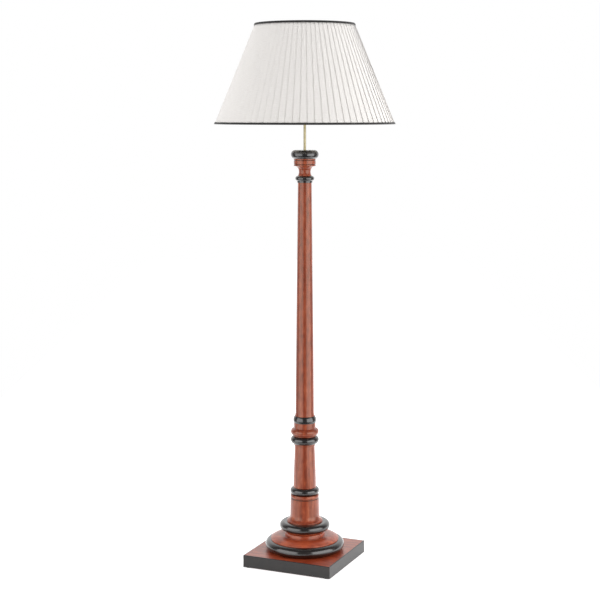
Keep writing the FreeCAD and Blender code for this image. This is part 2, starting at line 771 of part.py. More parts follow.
def holder_cap():
    """Brass cup under the lampholder, screwed on the riser's end."""
    z = HOLDER_Z
    top = SKIRT_Z
    floor = z + HOLDER_BOSS_H
    dome = floor + HOLDER_DOME_H
    inner_r = HOLDER_CAP_R - HOLDER_CAP_WALL
    dome_middle = upright_arc(HOLDER_CAP_R, dome, HOLDER_BOSS_R, floor - HOLDER_CAP_WALL)
    inner_middle = upright_arc(inner_r, dome, HOLDER_BOSS_R, floor)
    shape = turned((RISER_R + THREAD_GAP, z),
                   (HOLDER_BOSS_R, z),
                   (HOLDER_BOSS_R, floor - HOLDER_CAP_WALL),
                   (dome_middle, (HOLDER_CAP_R, dome)),
                   (HOLDER_CAP_R, top),
                   (inner_r, top),
                   (inner_r, dome),
                   (inner_middle, (HOLDER_BOSS_R, floor)),
                   (RISER_R + THREAD_GAP, floor))
    return shape.cut(switch_bore())


def holder_insert():
    """Porcelain insert: a base in the cap and a cup round the screw shell."""
    base_r = HOLDER_CAP_R - HOLDER_CAP_WALL - SEAT_GAP
    cup_in = SHELL_BORE_R + SHELL_T + THREAD_GAP
    cup_out = cup_in + INSERT_WALL_T
    top = SKIRT_Z + INSERT_WALL_H
    shape = turned((0, INSERT_Z),
                   (base_r, INSERT_Z),
                   (base_r, SKIRT_Z),
                   (cup_out, SKIRT_Z),
                   (cup_out, top),
                   (cup_in, top),
                   (cup_in, SKIRT_Z),
                   (0, SKIRT_Z))
    return shape.cut(switch_bore())


def holder_skirt():
    """Threaded brass skirt that carries the two shade rings."""
    z = SKIRT_Z
    inner = SKIRT_R - SKIRT_WALL
    flange = z + SKIRT_FLANGE_H
    return turned((inner, z),
                  (HOLDER_CAP_R, z),
                  (HOLDER_CAP_R, flange),
                  (SKIRT_R, flange),
                  (SKIRT_R, z + SKIRT_H),
                  (inner, z + SKIRT_H))


def screw_shell():
    """Thin brass shell that the bulb screws into."""
    return turned((SHELL_BORE_R, SKIRT_Z),
                  (SHELL_BORE_R + SHELL_T, SKIRT_Z),
                  (SHELL_BORE_R + SHELL_T, SKIRT_Z + SHELL_H),
                  (SHELL_BORE_R, SKIRT_Z + SHELL_H))


def centre_contact():
    """Sprung contact button under the bulb."""
    return cylinder(CONTACT_R, SKIRT_Z, SKIRT_Z + CONTACT_H)


def fluted_ring(z0):
    """Grip ring with the skirt's thread inside and flutes outside."""
    ring = cylinder(RING_R, z0, z0 + RING_H).cut(cylinder(SKIRT_R + THREAD_GAP, z0, z0 + RING_H))
    flute = cylinder(RING_FLUTE_R, z0, z0 + RING_H, RING_R + RING_FLUTE_R / 2, 0)
    return ring.cut(Part.makeCompound(around(flute, RING_FLUTES)))


def seat_ring():
    """Lower ring, which the shade's fitter rests on."""
    return fluted_ring(SEAT_RING_Z)


def shade_ring():
    """Upper ring, screwed down on the shade's fitter."""
    return fluted_ring(SHADE_RING_Z)


def switch_knob():
    """Fluted switch knob on its shaft, on the lampholder's right-hand side."""
    inner_end = HOLDER_CAP_R - HOLDER_CAP_WALL - SHAFT_DEPTH + SEAT_GAP
    knob_x = HOLDER_CAP_R + KNOB_STAND_OFF
    shaft = Part.makeCylinder(SHAFT_R, knob_x - inner_end, V(inner_end, 0, SWITCH_Z), V(1, 0, 0))
    knob = Part.makeCylinder(KNOB_R, KNOB_LENGTH, V(knob_x, 0, SWITCH_Z), V(1, 0, 0))
    for k in range(KNOB_FLUTES):
        turn = 2 * math.pi * k / KNOB_FLUTES
        y = (KNOB_R + KNOB_FLUTE_R / 2) * math.cos(turn)
        z = SWITCH_Z + (KNOB_R + KNOB_FLUTE_R / 2) * math.sin(turn)
        knob = knob.cut(Part.makeCylinder(KNOB_FLUTE_R, KNOB_LENGTH, V(knob_x, y, z), V(1, 0, 0)))
    return knob.fuse(shaft).removeSplitter()


# ---- bulb -----------------------------------------------------------------------------------------------
def bulb_cap():
    """Brass screw cap with rounded thread ridges."""
    z0 = BULB_Z + BULB_TIP_H
    z1 = z0 + BULB_CAP_H
    root = BULB_CAP_R - BULB_THREAD_DEPTH
    path = [(BULB_SEAT_R, z0)]
    z = z0 + BULB_THREAD_PITCH / 2
    path.append((root, z))
    while z + BULB_THREAD_PITCH < z1:
        crest = (BULB_CAP_R, z + BULB_THREAD_PITCH / 2)
        z += BULB_THREAD_PITCH
        path.append((crest, (root, z)))
    path.append((root, z1))
    return turned((0, z0), *path, (0, z1))


def bulb_contact():
    """Insulator and tip contact under the bulb's cap."""
    return turned((0, BULB_Z),
                  (BULB_TIP_R, BULB_Z),
                  (BULB_SEAT_R, BULB_Z + BULB_TIP_H),
                  (0, BULB_Z + BULB_TIP_H))


def bulb_outline(inset):
    """Turned outline of the bulb's glass, drawn in from its outside by the inset."""
    z_cap = BULB_Z + BULB_TIP_H + BULB_CAP_H
    z_ball = BULB_Z + BULB_LENGTH - BULB_R
    radius = BULB_R - inset
    neck = BULB_NECK_R - inset
    drop = (z_ball - z_cap) / 2
    shoulder_z = z_ball - radius / 2
    shoulder_r = math.sqrt(radius * radius - (radius / 2) ** 2)
    neck_middle = ((neck + shoulder_r) / 2 - drop / 12, (z_cap + shoulder_z) / 2)
    top_half = radius / math.sqrt(2)
    z0 = z_cap + inset
    return turned((0, z0),
                  (neck, z0),
                  (neck_middle, (shoulder_r, shoulder_z)),
                  ((radius, z_ball), (top_half, z_ball + top_half)),
                  ((radius * math.sin(math.pi / 8), z_ball + radius * math.cos(math.pi / 8)),
                   (0, z_ball + radius)))


def bulb_glass():
    """Opal glass envelope, hollow."""
    return bulb_outline(0.0).cut(bulb_outline(BULB_GLASS_T))


# ---- shade --------------------------------------------------------------------------------------------
def trim_radius(z):
    """Outer radius over the trim at a height."""
    share = (z - SHADE_BOTTOM_Z) / SHADE_H
    return SHADE_BOTTOM_R + share * (SHADE_TOP_R - SHADE_BOTTOM_R)


def crest_radius(z):
    """Radius of the pleats' folded edges at a height."""
    return trim_radius(z) - TRIM_T - TRIM_LAP


def pleat_depth(z):
    """Depth of the pleats, which shrinks with the radius towards the top."""
    return PLEAT_DEPTH * crest_radius(z) / crest_radius(CLOTH_Z0)


def valley_radius(z):
    """Radius of the pleats' inner folds at a height."""
    return crest_radius(z) - pleat_depth(z)


def cover_back_radius(z):
    """Radius of the cover's back, one cloth thickness behind the inner folds."""
    return valley_radius(z) - COVER_CLOTH_T


def cover_bore(z):
    """Radius that the flat strips of the cover's back leave free."""
    return cover_back_radius(z) * math.cos(math.pi / PLEATS)


def lining_radius(z):
    """Outer radius of the stiff lining."""
    return cover_bore(z) - CLOTH_GAP


CLOTH_Z0 = SHADE_BOTTOM_Z + TRIM_WEB_T
CLOTH_Z1 = SHADE_TOP_Z - TRIM_WEB_T


def conical(radius_of, inset, z0, z1):
    """Solid cone frustum whose radius is a function of height, less an inset."""
    return Part.makeCone(radius_of(z0) - inset, radius_of(z1) - inset, z1 - z0, V(0, 0, z0))


def round_point(radius, turn, z):
    """Point at a share of a full turn about the lamp's axis."""
    return V(radius * math.cos(2 * math.pi * turn), radius * math.sin(2 * math.pi * turn), z)


def fold_turn(k):
    """Place of a pleat's inner fold, as a share of a full turn."""
    return (k + 1 - PLEAT_STEP) / PLEATS


def pleated_wire(z):
    """Closed outline of all pleats at a height: folded edge, face, turned-in side."""
    points = []
    for k in range(PLEATS):
        points.append(round_point(crest_radius(z), k / PLEATS, z))
        points.append(round_point(valley_radius(z), fold_turn(k), z))
    return Part.makePolygon(points + points[:1])


def cover_back_wire(z):
    """Closed outline of the cover's back at a height, with a corner behind each inner fold."""
    points = [round_point(cover_back_radius(z), fold_turn(k), z) for k in range(PLEATS)]
    return Part.makePolygon(points + points[:1])


def shade_cover():
    """Cloth cover in knife pleats that run from rim to rim."""
    outside = Part.makeLoft([pleated_wire(CLOTH_Z0), pleated_wire(CLOTH_Z1)], True, True)
    inside = Part.makeLoft([cover_back_wire(CLOTH_Z0), cover_back_wire(CLOTH_Z1)], True, True)
    return outside.cut(inside)


def shade_lining():
    """Stiff conical lining behind the pleats."""
    outside = conical(lining_radius, 0, CLOTH_Z0, CLOTH_Z1)
    return outside.cut(conical(lining_radius, LINING_T, CLOTH_Z0, CLOTH_Z1))


def rim_trim(z_edge, inward):
    """Ebony braid round a rim: an outer band and a web over the cloth's edge.
    inward is +1 on the bottom rim, whose braid reaches up, and -1 on the top rim."""
    z_web = z_edge + inward * TRIM_WEB_T
    z_band = z_edge + inward * TRIM_H
    bore = lining_radius(z_web) - LINING_T
    return turned((bore, z_edge),
                  (trim_radius(z_edge), z_edge),
                  (trim_radius(z_band), z_band),
                  (trim_radius(z_band) - TRIM_T, z_band),
                  (trim_radius(z_web) - TRIM_T, z_web),
                  (bore, z_web))


def bottom_trim():
    """Braid on the bottom rim."""
    return rim_trim(SHADE_BOTTOM_Z, 1.0)


def top_trim():
    """Braid on the top rim."""
    return rim_trim(SHADE_TOP_Z, -1.0)


def wire_ring_radius(z):
    """Centre-line radius of a wire ring that lies against the lining."""
    return lining_radius(z) - LINING_T - CLOTH_GAP - WIRE_R * 1.1


def wire_ring(z):
    """Round wire ring."""
    return Part.makeTorus(wire_ring_radius(z), WIRE_R, V(0, 0, z))


BOTTOM_WIRE_Z = CLOTH_Z0 + WIRE_R + TRIM_LAP
TOP_WIRE_Z = CLOTH_Z1 - WIRE_R - TRIM_LAP


def bottom_wire():
    """Steel wire ring in the bottom rim."""
    return wire_ring(BOTTOM_WIRE_Z)


def top_wire():
    """Steel wire ring in the top rim."""
    return wire_ring(TOP_WIRE_Z)


def rod(radius, start, end):
    """Round rod between two points."""
    line = end - start
    return Part.makeCylinder(radius, line.Length, start, line)


def shade_ribs():
    """Rib wires between the two wire rings, coped to them and clear of the spokes."""
    start = V(wire_ring_radius(BOTTOM_WIRE_Z), 0, BOTTOM_WIRE_Z)
    end = V(wire_ring_radius(TOP_WIRE_Z), 0, TOP_WIRE_Z)
    rib = rod(RIB_R, start, end).cut(bottom_wire()).cut(top_wire())
    rib.rotate(V(0, 0, 0), AXIS, 180.0 / RIBS)
    return Part.makeCompound(around(rib, RIBS))


def fitter_ring():
    """Steel ring that sits on the lampholder between the two grip rings."""
    top = FITTER_Z + FITTER_T
    return cylinder(FITTER_R, FITTER_Z, top).cut(cylinder(FITTER_BORE_R, FITTER_Z, top))


def fitter_spokes():
    """Spokes from the bottom wire ring up to the fitter ring, coped to both."""
    spoke_start_r = FITTER_R - SPOKE_R
    start = V(spoke_start_r, 0, FITTER_Z + FITTER_T / 2)
    end = V(wire_ring_radius(BOTTOM_WIRE_Z), 0, BOTTOM_WIRE_Z)
    disc = cylinder(FITTER_R, FITTER_Z - SPOKE_R * 2, FITTER_Z + SPOKE_R * 2)
    spoke = rod(SPOKE_R, start, end).cut(disc).cut(bottom_wire())
    return Part.makeCompound(around(spoke, SPOKES))


# ---- wiring -------------------------------------------------------------------------------------------
def inner_flex():
    """Round flex from the terminal block, up the tie tube and riser to the lampholder."""
    bend = FLEX_BEND_R
    top = V(0, 0, INSERT_Z)
    bend_top = V(0, 0, FLEX_Z + bend)
    bend_middle = V(0, bend * (1 - math.cos(math.pi / 4)), FLEX_Z + bend * (1 - math.sin(math.pi / 4)))
    bend_end = V(0, bend, FLEX_Z)
    end = V(0, TERMINAL_Y, FLEX_Z)
    upright = cylinder(FLEX_R, bend_top.z, top.z)
    arc = Part.Wire([Part.Arc(bend_top, bend_middle, bend_end).toShape()])
    ring = Part.Wire([Part.makeCircle(FLEX_R, bend_top, AXIS)])
    elbow = arc.makePipeShell([ring], True, False)
    level = rod(FLEX_R, bend_end, end)
    return upright.fuse([elbow, level]).removeSplitter()


def terminal_block():
    """Two-way terminal block in the wiring bay, fixed to the board."""
    z1 = FLEX_Z + TERMINAL_H / 2
    z0 = FLEX_Z - FLEX_R
    body = block(-TERMINAL_W / 2, TERMINAL_W / 2, TERMINAL_Y, TERMINAL_Y + TERMINAL_L, z0, z1)
    foot = block(-TERMINAL_W / 6, TERMINAL_W / 6, TERMINAL_Y, TERMINAL_Y + TERMINAL_L, z1, RECESS_ROOF)
    body = body.fuse(foot).removeSplitter()
    for x in (-TERMINAL_W / 4, TERMINAL_W / 4):
        for y in (TERMINAL_Y + TERMINAL_L / 4, TERMINAL_Y + TERMINAL_L * 3 / 4):
            body = body.cut(cylinder(TERMINAL_SCREW_R, z0, z0 + FLEX_R, x, y))
    return body


def cord_inlet():
    """Flanged bush in the plinth's rear edge, for a round mains cord."""
    face = PLINTH_SIDE / 2
    shank = Part.makeCylinder(INLET_SHANK_R, INLET_SHANK_L, V(0, face - INLET_SHANK_L, INLET_Z), V(0, 1, 0))
    flange = Part.makeCylinder(INLET_FLANGE_R, INLET_FLANGE_T, V(0, face, INLET_Z), V(0, 1, 0))
    length = INLET_SHANK_L + INLET_FLANGE_T
    bore = Part.makeCylinder(INLET_BORE_R, length, V(0, face - INLET_SHANK_L, INLET_Z), V(0, 1, 0))
    return shank.fuse(flange).removeSplitter().cut(bore)


def clamp_groove():
    """Round groove that the mains cord is held in."""
    return Part.makeCylinder(INLET_BORE_R, CLAMP_L, V(0, CLAMP_Y, INLET_Z), V(0, 1, 0))


def clamp_screw_places():
    """Either side of the cord."""
    x = CLAMP_W / 2 - CLAMP_SCREW_INSET
    y = CLAMP_Y + CLAMP_L / 2
    return [(-x, y), (x, y)]


def clamp_holes(z0, z1):
    """Screw holes through the clamp."""
    radius = CLAMP_SCREW_R + SCREW_GAP
    return Part.makeCompound([cylinder(radius, z0, z1, x, y) for x, y in clamp_screw_places()])


def clamp_block():
    """Upper half of the cord clamp, under the recess's roof."""
    half = CLAMP_W / 2
    body = block(-half, half, CLAMP_Y, CLAMP_Y + CLAMP_L, INLET_Z, RECESS_ROOF)
    return body.cut(clamp_groove()).cut(clamp_holes(INLET_Z, RECESS_ROOF))


def clamp_bar():
    """Lower half of the cord clamp."""
    half = CLAMP_W / 2
    z0 = INLET_Z - CLAMP_BAR_T
    body = block(-half, half, CLAMP_Y, CLAMP_Y + CLAMP_L, z0, INLET_Z)
    return body.cut(clamp_groove()).cut(clamp_holes(z0, INLET_Z))


def clamp_screws():
    """Two screws through the clamp's halves."""
    z_head = INLET_Z - CLAMP_BAR_T - CLAMP_SCREW_HEAD_H
    made = []
    for x, y in clamp_screw_places():
        made.append(screw(CLAMP_SCREW_R, RECESS_ROOF - z_head, CLAMP_SCREW_HEAD_R, CLAMP_SCREW_HEAD_H,
                          x, y, z_head, False))
    return Part.makeCompound(made)


PIECES = [
    foot_pads, plinth_board, edging_front, edging_right, edging_rear, edging_left, bottom_cover,
    cover_screws, ballast_plate, ballast_screws, tie_tube, tie_nuts, tie_washers,
    base_ring, base_mound, small_ring, column_foot, foot_ring, lower_column, knop_low_ring,
    knop_bead, knop_top_ring, upper_column, neck_ring, cup, cap, riser_coupling, riser,
    holder_cap, holder_insert, holder_skirt, screw_shell, centre_contact, seat_ring, shade_ring,
    switch_knob, bulb_cap, bulb_contact, bulb_glass,
    shade_cover, shade_lining, bottom_trim, top_trim, bottom_wire, top_wire, shade_ribs,
    fitter_ring, fitter_spokes,
    inner_flex, terminal_block, cord_inlet, clamp_block, clamp_bar, clamp_screws,
]

os.makedirs("parts", exist_ok=True)
for piece in PIECES:
    shape = piece()
    shape.exportStep("parts/" + piece.__name__ + ".step")
    print("%-16s solids %2d  volume %10.1f  valid %s" % (piece.__name__, len(shape.Solids), shape.Volume,
                                                        shape.isValid()))
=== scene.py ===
"""Candlestick floor lamp: a turned cherry column with ebonised rings on a square plinth,
and a knife-pleated empire shade on a slim brass riser."""
import bmesh
import bpy
import numpy as np
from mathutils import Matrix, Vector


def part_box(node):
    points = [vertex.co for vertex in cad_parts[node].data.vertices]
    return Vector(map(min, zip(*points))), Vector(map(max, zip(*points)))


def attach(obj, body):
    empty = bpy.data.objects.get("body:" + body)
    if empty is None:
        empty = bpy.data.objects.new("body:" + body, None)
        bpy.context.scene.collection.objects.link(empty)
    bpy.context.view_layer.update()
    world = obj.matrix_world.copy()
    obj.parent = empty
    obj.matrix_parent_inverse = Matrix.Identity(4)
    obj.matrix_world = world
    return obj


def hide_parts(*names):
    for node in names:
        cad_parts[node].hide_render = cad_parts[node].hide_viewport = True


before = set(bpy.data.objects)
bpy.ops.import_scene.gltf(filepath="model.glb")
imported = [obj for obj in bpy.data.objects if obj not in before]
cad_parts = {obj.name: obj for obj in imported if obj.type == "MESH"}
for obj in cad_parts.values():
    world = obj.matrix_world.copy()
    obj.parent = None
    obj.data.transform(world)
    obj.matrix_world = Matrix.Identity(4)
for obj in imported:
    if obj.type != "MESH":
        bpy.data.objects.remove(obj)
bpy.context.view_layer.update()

# ---- camera --------------------------------------------------------------------------------------
# A long lens at eye height, a little to the lamp's right and tilted down to its middle.
camera_turn = np.radians(23.556)         # round from straight in front, towards +X
camera_away = 4.2547
camera_height = 1.4047
camera_tilt = np.radians(7.7056)
lens = bpy.data.cameras.new("camera")
lens.sensor_width = 36.0
lens.lens = 83.58
lens.shift_x = -0.00795
camera = bpy.data.objects.new("camera", lens)
camera.location = (camera_away * np.sin(camera_turn), -camera_away * np.cos(camera_turn),
                   camera_height)
camera.rotation_euler = (np.pi / 2 - camera_tilt, 0.0, camera_turn)
bpy.context.scene.collection.objects.link(camera)
bpy.context.scene.camera = camera
bpy.context.scene.view_settings.view_transform = "Standard"


# ---- studio --------------------------------------------------------------------------------------
# A sheet of white paper on a low stage under the lamp, white behind it, and diffuser walls all
# round and overhead. Gloss shows only the two beside the camera, as a band with a dark gap
# where the camera stands.
def node(tree, kind, settings=None, **inputs):
    """Adds a node. Settings go on the node, inputs on its sockets: a socket of another node becomes
    a link. An input's name is the socket's, with _ for a space, or s0, s1 ... for its number."""
    made = tree.nodes.new("ShaderNode" + kind)
    for name, value in (settings or {}).items():
        setattr(made, name, value)
    for name, value in inputs.items():
        numbered = name[0] == "s" and name[1:].isdigit()
        socket = made.inputs[int(name[1:])] if numbered else made.inputs[name.replace("_", " ")]
        if isinstance(value, bpy.types.NodeSocket):
            tree.links.new(value, socket)
        else:
            socket.default_value = value
    return made


def sum_of(tree, operation, a, b, clamp=False):
    """Output of a Math node on two values or sockets."""
    return node(tree, "Math", {"operation": operation, "use_clamp": clamp}, s0=a, s1=b).outputs[0]


def colour(red, green, blue):
    """Colour as a screen shows it, 0 to 255, made linear for a socket."""
    share = np.array([red, green, blue]) / 255.0
    return (*np.where(share <= 0.04045, share / 12.92, ((share + 0.055) / 1.055) ** 2.4), 1.0)


world = bpy.data.worlds.new("studio")
world.use_nodes = True
bpy.context.scene.world = world
tree = world.node_tree
rays = node(tree, "LightPath")
straight_back = (-np.sin(camera_turn), np.cos(camera_turn), 0.0)
towards = node(tree, "VectorMath", {"operation": "DOT_PRODUCT"},
               s0=node(tree, "TexCoord").outputs["Generated"], s1=straight_back)
behind = node(tree, "MapRange", Value=towards.outputs["Value"], s1=0.30, s2=0.70)
mirrored = sum_of(tree, "MAXIMUM", rays.outputs["Is Glossy Ray"], rays.outputs["Is Transmission Ray"])
mirrored = sum_of(tree, "MULTIPLY", mirrored, behind.outputs[0])
seen = sum_of(tree, "MAXIMUM", rays.outputs["Is Camera Ray"], mirrored)
fill = node(tree, "Background", Color=colour(255, 255, 255), Strength=0.20)
white = node(tree, "Background", Color=colour(255, 255, 255), Strength=1.0)
lit = node(tree, "MixShader", s0=seen, s1=fill.outputs[0], s2=white.outputs[0])
tree.links.new(lit.outputs[0], tree.nodes["World Output"].inputs["Surface"])


def wall_of_light(name, turn, away, width, height, middle, watts, in_gloss=True):
    """One diffuser wall that faces the lamp, turned round from the camera's side, or hung flat over
    it when it is no way off. A wall that isn't in gloss only fills shadows."""
    panel = bpy.data.lights.new(name, "AREA")
    panel.shape = "RECTANGLE"
    panel.size = width
    panel.size_y = height
    panel.energy = watts
    holder = bpy.data.objects.new(name, panel)
    round_to = camera_turn + np.radians(turn)
    holder.location = (away * np.sin(round_to), -away * np.cos(round_to), middle)
    holder.rotation_euler = (np.pi / 2 if away else 0.0, 0.0, round_to)
    holder.visible_camera = False
    holder.visible_glossy = in_gloss
    bpy.context.scene.collection.objects.link(holder)


wall_of_light("left_wall", -54.0, 2.6, 3.3, 2.6, 0.95, 58.0)
wall_of_light("right_wall", 54.0, 2.6, 3.3, 2.6, 0.95, 74.0)
wall_of_light("left_back_wall", -120.0, 2.6, 3.3, 2.6, 0.95, 34.0, in_gloss=False)
wall_of_light("right_back_wall", 120.0, 2.6, 3.3, 2.6, 0.95, 62.0, in_gloss=False)
wall_of_light("overhead", 0.0, 0.0, 2.6, 2.6, 3.4, 30.0, in_gloss=False)

paper_front, paper_back, paper_half = 0.46, 9.0, 1.5
mesh = bpy.data.meshes.new("floor")
mesh.from_pydata([(-paper_half, -paper_front, 0), (paper_half, -paper_front, 0),
                  (paper_half, paper_back, 0), (-paper_half, paper_back, 0)], [], [(0, 1, 2, 3)])
floor = bpy.data.objects.new("floor", mesh)
floor.rotation_euler = (0.0, 0.0, camera_turn)
bpy.context.scene.collection.objects.link(floor)
paper = bpy.data.materials.new("white_sweep")
paper.use_nodes = True
tree = paper.node_tree
rays = node(tree, "LightPath")
seen = sum_of(tree, "MAXIMUM", rays.outputs["Is Camera Ray"], rays.outputs["Is Glossy Ray"])
seen = sum_of(tree, "MAXIMUM", seen, rays.outputs["Is Transmission Ray"])
matt = node(tree, "BsdfDiffuse", Color=colour(236, 236, 236))
away = node(tree, "VectorMath", {"operation": "LENGTH"}, s0=node(tree, "TexCoord").outputs["Object"])
level = node(tree, "MapRange", Value=away.outputs["Value"], s1=0.6, s2=1.5, s3=0.60, s4=1.0)
strength = sum_of(tree, "MULTIPLY", seen, level.outputs[0])
glow = node(tree, "Emission", Color=colour(255, 255, 255), Strength=strength)
both = node(tree, "AddShader", s0=matt.outputs[0], s1=glow.outputs[0])
tree.links.new(both.outputs[0], tree.nodes["Material Output"].inputs["Surface"])
floor.data.materials.append(paper)


# ---- felt pads -----------------------------------------------------------------------------------
# Four discs of pressed grey felt, 24 mm across and 2 mm thick, stuck under the plinth's corners.
# Pressed edges are soft, so each disc is a low lens with a round rim.
mm = 0.001


def arc(start, middle, end):
    """Points after start along the circle through three points: its centre is where the chords'
    midlines meet, and the points are equal turns about it, about seven degrees apart."""
    (ax, ay), (bx, by), (cx, cy) = start, middle, end
    twice = 2 * (ax * (by - cy) + bx * (cy - ay) + cx * (ay - by))
    aa, bb, cc = ax * ax + ay * ay, bx * bx + by * by, cx * cx + cy * cy
    centre = np.array([aa * (by - cy) + bb * (cy - ay) + cc * (ay - by),
                       aa * (cx - bx) + bb * (ax - cx) + cc * (bx - ax)]) / twice
    first = np.arctan2(ay - centre[1], ax - centre[0])
    last = np.arctan2(cy - centre[1], cx - centre[0])
    sweep = (last - first) % (2 * np.pi) if twice > 0 else -((first - last) % (2 * np.pi))
    turn = first + sweep * np.linspace(0, 1, int(np.ceil(abs(sweep) / 0.12)) + 1)[1:]
    return centre + np.hypot(ax - centre[0], ay - centre[1]) * np.stack([np.cos(turn), np.sin(turn)], 1)


def outline(start, *steps):
    """Outline as points (radius, height). A step is a point, for a straight run, or a pair
    (middle point, end point), for an arc. A run over 6 mm gets a point 2.5 mm in from each end,
    which keeps the shading of its ends from spreading along it."""
    runs = [np.array([start], float)]
    for step in steps:
        here = runs[-1][-1]
        if isinstance(step[0], tuple):
            runs.append(arc(tuple(here), step[0], step[1]))
        else:
            there = np.array(step, float)
            length = np.linalg.norm(there - here)
            share = np.array([2.5 / length, 1 - 2.5 / length, 1.0]) if length > 6.0 else np.ones(1)
            runs.append(here + (there - here) * share[:, None])
    return np.concatenate(runs)


def softened(points, by):
    """Outline with its arrises taken off. Where it turns by more than 20 degrees, a short parabola
    starts that far before the corner and ends as far after it, and one more point on each side
    holds the flat. Where it is smooth, it stays as it is."""
    back, on = np.roll(points, 1, 0) - points, np.roll(points, -1, 0) - points
    back_length, on_length = np.linalg.norm(back, axis=1), np.linalg.norm(on, axis=1)
    back, on = back / back_length[:, None], on / on_length[:, None]
    sharp = np.arccos(np.clip(-(back * on).sum(1), -1, 1)) > 0.35
    cut = np.minimum(by, 0.2 * np.minimum(back_length, on_length))[:, None]
    share = np.array([0.0, 1 / 3, 2 / 3, 1.0])[:, None, None]
    curve = points + (1 - share) ** 2 * back * cut + share ** 2 * on * cut
    rows = np.concatenate([(points + back * 2.2 * cut)[None], curve, (points + on * 2.2 * cut)[None]])
    rows = rows.transpose(1, 0, 2)
    rows[~sharp, 0] = points[~sharp]
    keep = np.repeat(sharp[:, None], 6, 1)
    keep[:, 0] = True
    return rows[keep]


def turned(points, columns, x=0.0, y=0.0):
    """Surface turned about an upright axis through (x, y), from an outline in millimetres that
    runs up the outside and closes on itself: x + r cos a, y + r sin a, z, on a grid of the
    outline's points by equal turns a. Returns points in metres and four-sided faces."""
    a = np.linspace(0, 2 * np.pi, columns, endpoint=False)
    r, z = points[:, :1], points[:, 1:]
    spots = np.stack([x + r * np.cos(a), y + r * np.sin(a), z + 0 * a], -1).reshape(-1, 3) * mm
    return spots, grid_faces(len(points), columns, True, True)


def grid_faces(rows, columns, rows_close, columns_close):
    """Four-sided faces of a grid of rows by columns, numbered row after row, whose rows or columns
    may close on themselves."""
    i, j = np.meshgrid(np.arange(rows if rows_close else rows - 1),
                       np.arange(columns if columns_close else columns - 1), indexing="ij")
    up, on = (i + 1) % rows, (j + 1) % columns
    corners = [i * columns + j, i * columns + on, up * columns + on, up * columns + j]
    return np.stack(corners, -1).reshape(-1, 4)


def piece(name, points, faces, material, body, slot, *stands_for):
    """Smooth-shaded object made from points and faces, with points that coincide joined into one,
    such as a pole. It rides on a body and stands for the CAD nodes named."""
    made = bpy.data.meshes.new(name)
    made.from_pydata(points.tolist(), [], faces.tolist())
    made.validate()
    work = bmesh.new()
    work.from_mesh(made)
    bmesh.ops.remove_doubles(work, verts=work.verts, dist=1e-6)
    work.to_mesh(made)
    work.free()
    made.shade_smooth()
    made.materials.append(material)
    shown = bpy.data.objects.new(name, made)
    bpy.context.scene.collection.objects.link(shown)
    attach(shown, body)
    if stands_for:
        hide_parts(*stands_for)
    return shown


def finish(name, **sockets):
    """Material with one shader. What is the same all over goes on the shader's own sockets.
    Returns the material, its tree, its shader and a point's place on the object."""
    made = bpy.data.materials.new(name)
    made.use_nodes = True
    shader = made.node_tree.nodes["Principled BSDF"]
    for socket, value in sockets.items():
        shader.inputs[socket.replace("_", " ")].default_value = value
    place = node(made.node_tree, "TexCoord").outputs["Object"]
    return made, made.node_tree, shader, place


def noise(tree, place, scale, stretch=(1, 1, 1), detail=2.0, roughness=0.5):
    """Noise of that many lumps to the metre, on a stretched place."""
    there = node(tree, "Mapping", Vector=place, Scale=stretch).outputs[0]
    lumps = node(tree, "TexNoise", Vector=there, Scale=scale, Detail=detail, Roughness=roughness)
    return lumps.outputs["Fac"]


def ramp(tree, value, *stops):
    """Colour that a value stands for, from stops (value, colour)."""
    made = node(tree, "ValToRGB", Fac=value)
    band = made.color_ramp
    while len(band.elements) < len(stops):
        band.elements.new(0.5)
    for element, (position, shade) in zip(band.elements, stops):
        element.position, element.color = position, shade
    return made.outputs["Color"]


def colours(tree, shader, value, *stops):
    """Base colour of the shader, as a ramp over a value."""
    tree.links.new(ramp(tree, value, *stops), shader.inputs["Base Color"])


def between(tree, value, low, high, from_low=0.0, from_high=1.0):
    """Value carried from one range to another, and held within it."""
    return node(tree, "MapRange", Value=value, s1=from_low, s2=from_high, s3=low, s4=high).outputs[0]


def tint(tree, share, under, over, how="MIX"):
    """Colour laid over another by a share."""
    made = node(tree, "Mix", {"data_type": "RGBA", "blend_type": how}, s0=share, s6=under, s7=over)
    return made.outputs[2]


def relief(tree, shader, height, depth, coat=False):
    """Bump of that depth in metres on the shader, and on its coat as well if it has one."""
    normal = node(tree, "Bump", Height=height, Distance=depth, Strength=1.0).outputs[0]
    tree.links.new(normal, shader.inputs["Normal"])
    if coat:
        tree.links.new(normal, shader.inputs["Coat Normal"])


felt, tree, shader, place = finish("grey_felt", Sheen_Weight=0.5, Sheen_Roughness=0.6, Roughness=0.95)
fluff = noise(tree, place, 900, detail=4.0, roughness=0.7)
colours(tree, shader, fluff, (0.3, colour(74, 72, 70)), (0.7, colour(128, 125, 121)))
relief(tree, shader, fluff, 0.0004)

pad = outline((0, 0), (10.6, 0), ((11.7, 0.35), (12, 1)), ((11.7, 1.7), (10.8, 2)), (0, 2))
pad_places = [(x, y) for x in (-131.0, 131.0) for y in (-131.0, 131.0)]
grids = [turned(pad, 48, x, y) for x, y in pad_places]
pad_points = np.concatenate([points for points, faces in grids])
pad_faces = np.concatenate([faces + len(grids[0][0]) * i for i, (points, faces) in enumerate(grids)])
felt_pads = piece("felt_pads", pad_points, pad_faces, felt, "stand", "felt", "foot_pads")


